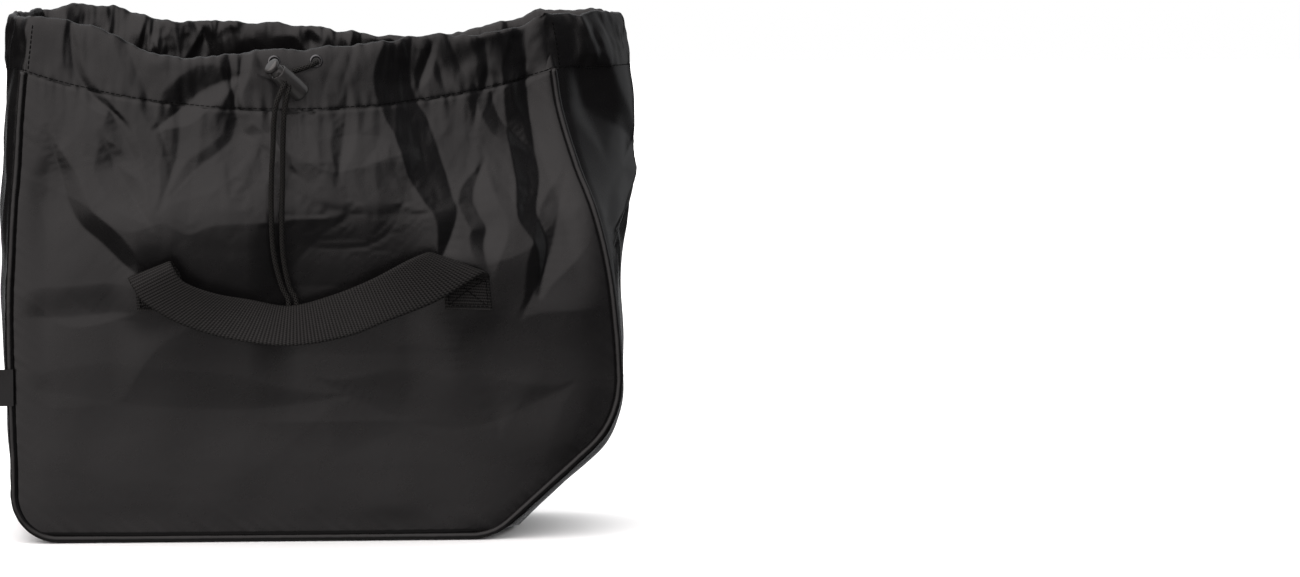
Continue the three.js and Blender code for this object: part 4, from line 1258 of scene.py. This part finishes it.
# Stage, light and camera.
FLOOR_REACH = 9
FLOOR_DROP = 0.0005
floor_mesh = bpy.data.meshes.new("floor")
ends = (-FLOOR_REACH, FLOOR_REACH)
floor_mesh.from_pydata([(x, y, -FLOOR_DROP) for y in ends for x in ends], [], [(0, 1, 3, 2)])
floor = bpy.data.objects.new("floor", floor_mesh)
stage = bpy.data.collections.new("stage")
bpy.context.scene.collection.children.link(stage)
stage.objects.link(floor)
floor_shader = Shader("floor", (0.9, 0.9, 0.9), 0.8, **{"Specular IOR Level": 0.0})
floor_mesh.materials.append(floor_shader.material)
floor.visible_diffuse = False
floor.visible_glossy = False

# A wide soft light on the floor alone.
sky = bpy.data.lights.new("floor_light", "SUN")
sky.energy = 3.6
sky.angle = math.radians(150)
sky_object = bpy.data.objects.new("floor_light", sky)
bpy.context.scene.collection.objects.link(sky_object)
sky_object.light_linking.receiver_collection = stage

# Soft studio light: two softboxes on the upper left in front, one above behind, one on the right, one low
# behind, light from the floor, and a weak wide one from the front and above.
# Towards the light, the cosines where it starts and is full, its strength and its colour.
SOFTBOXES = [
    ((-0.5, -0.64, 0.58), 0.3, 0.56, 0.6, (1, 0.935, 0.925)),
    ((-0.55, -0.52, 0.66), 0.25, 1.0, 0.66, (1, 0.935, 0.92)),
    ((-0.2, 0.7, 0.9), 0.6, 0.95, 0.6, (0.97, 0.98, 1)),
    ((0.88, 0.32, 0.25), 0.74, 0.97, 0.42, (0.97, 0.98, 1)),
    ((0, 1, -0.1), 0.92, 0.99, 0.34, (0.97, 0.98, 1)),
    ((0, -0.2, -1), 0.5, 0.98, 0.2, (1, 0.97, 0.96)),
    ((0, -0.6, 0.8), -0.2, 1.0, 0.09, (0.95, 0.94, 1)),
]


def studio():
    """A dark room with the softboxes, and a white background where the camera itself looks."""
    world = bpy.context.scene.world or bpy.data.worlds.new("world")
    bpy.context.scene.world = world
    world.use_nodes = True
    tree = world.node_tree
    tree.nodes.clear()
    direction = add_node(tree, "TexCoord", {}).outputs["Generated"]
    lights = []
    for towards, start, end, strength, colour in SOFTBOXES:
        inputs = {0: direction, 1: Vector(towards).normalized()}
        dot = add_node(tree, "VectorMath", inputs, operation="DOT_PRODUCT").outputs["Value"]
        inputs = {"Value": dot, "From Min": start, "From Max": end, "To Max": strength}
        edge = add_node(tree, "MapRange", inputs, interpolation_type="SMOOTHSTEP").outputs[0]
        box = add_node(tree, "Background", {"Color": (*colour, 1), "Strength": edge})
        lights.append(box.outputs[0])
    light = lights[0]
    for other in lights[1:]:
        light = add_node(tree, "AddShader", {0: light, 1: other}).outputs[0]
    white = add_node(tree, "Background", {"Color": (1, 1, 1, 1)}).outputs[0]
    looking = add_node(tree, "LightPath", {}).outputs["Is Camera Ray"]
    seen = add_node(tree, "MixShader", {"Fac": looking, 1: light, 2: white})
    add_node(tree, "OutputWorld", {"Surface": seen.outputs[0]})


studio()
bpy.context.scene.view_settings.view_transform = "Standard"

# The photograph is 1300 pixels wide and shows 0.8 mm a pixel, with the bag in its left half.
FRAME_WIDTH = 1.04
SENSOR = 36
DISTANCE = 4.0
ELEVATION = math.radians(5)
AIM = Vector((0.264, -0.06, 0.198))
camera_data = bpy.data.cameras.new("camera")
camera_data.sensor_width = SENSOR
camera_data.lens = SENSOR * DISTANCE / FRAME_WIDTH
camera_data.clip_end = 50
camera = bpy.data.objects.new("camera", camera_data)
camera.location = (0.0, AIM.y - DISTANCE * math.cos(ELEVATION), AIM.z + DISTANCE * math.sin(ELEVATION))
camera.rotation_euler = (AIM - camera.location).to_track_quat("-Z", "Y").to_euler()
bpy.context.scene.collection.objects.link(camera)
bpy.context.scene.camera = camera
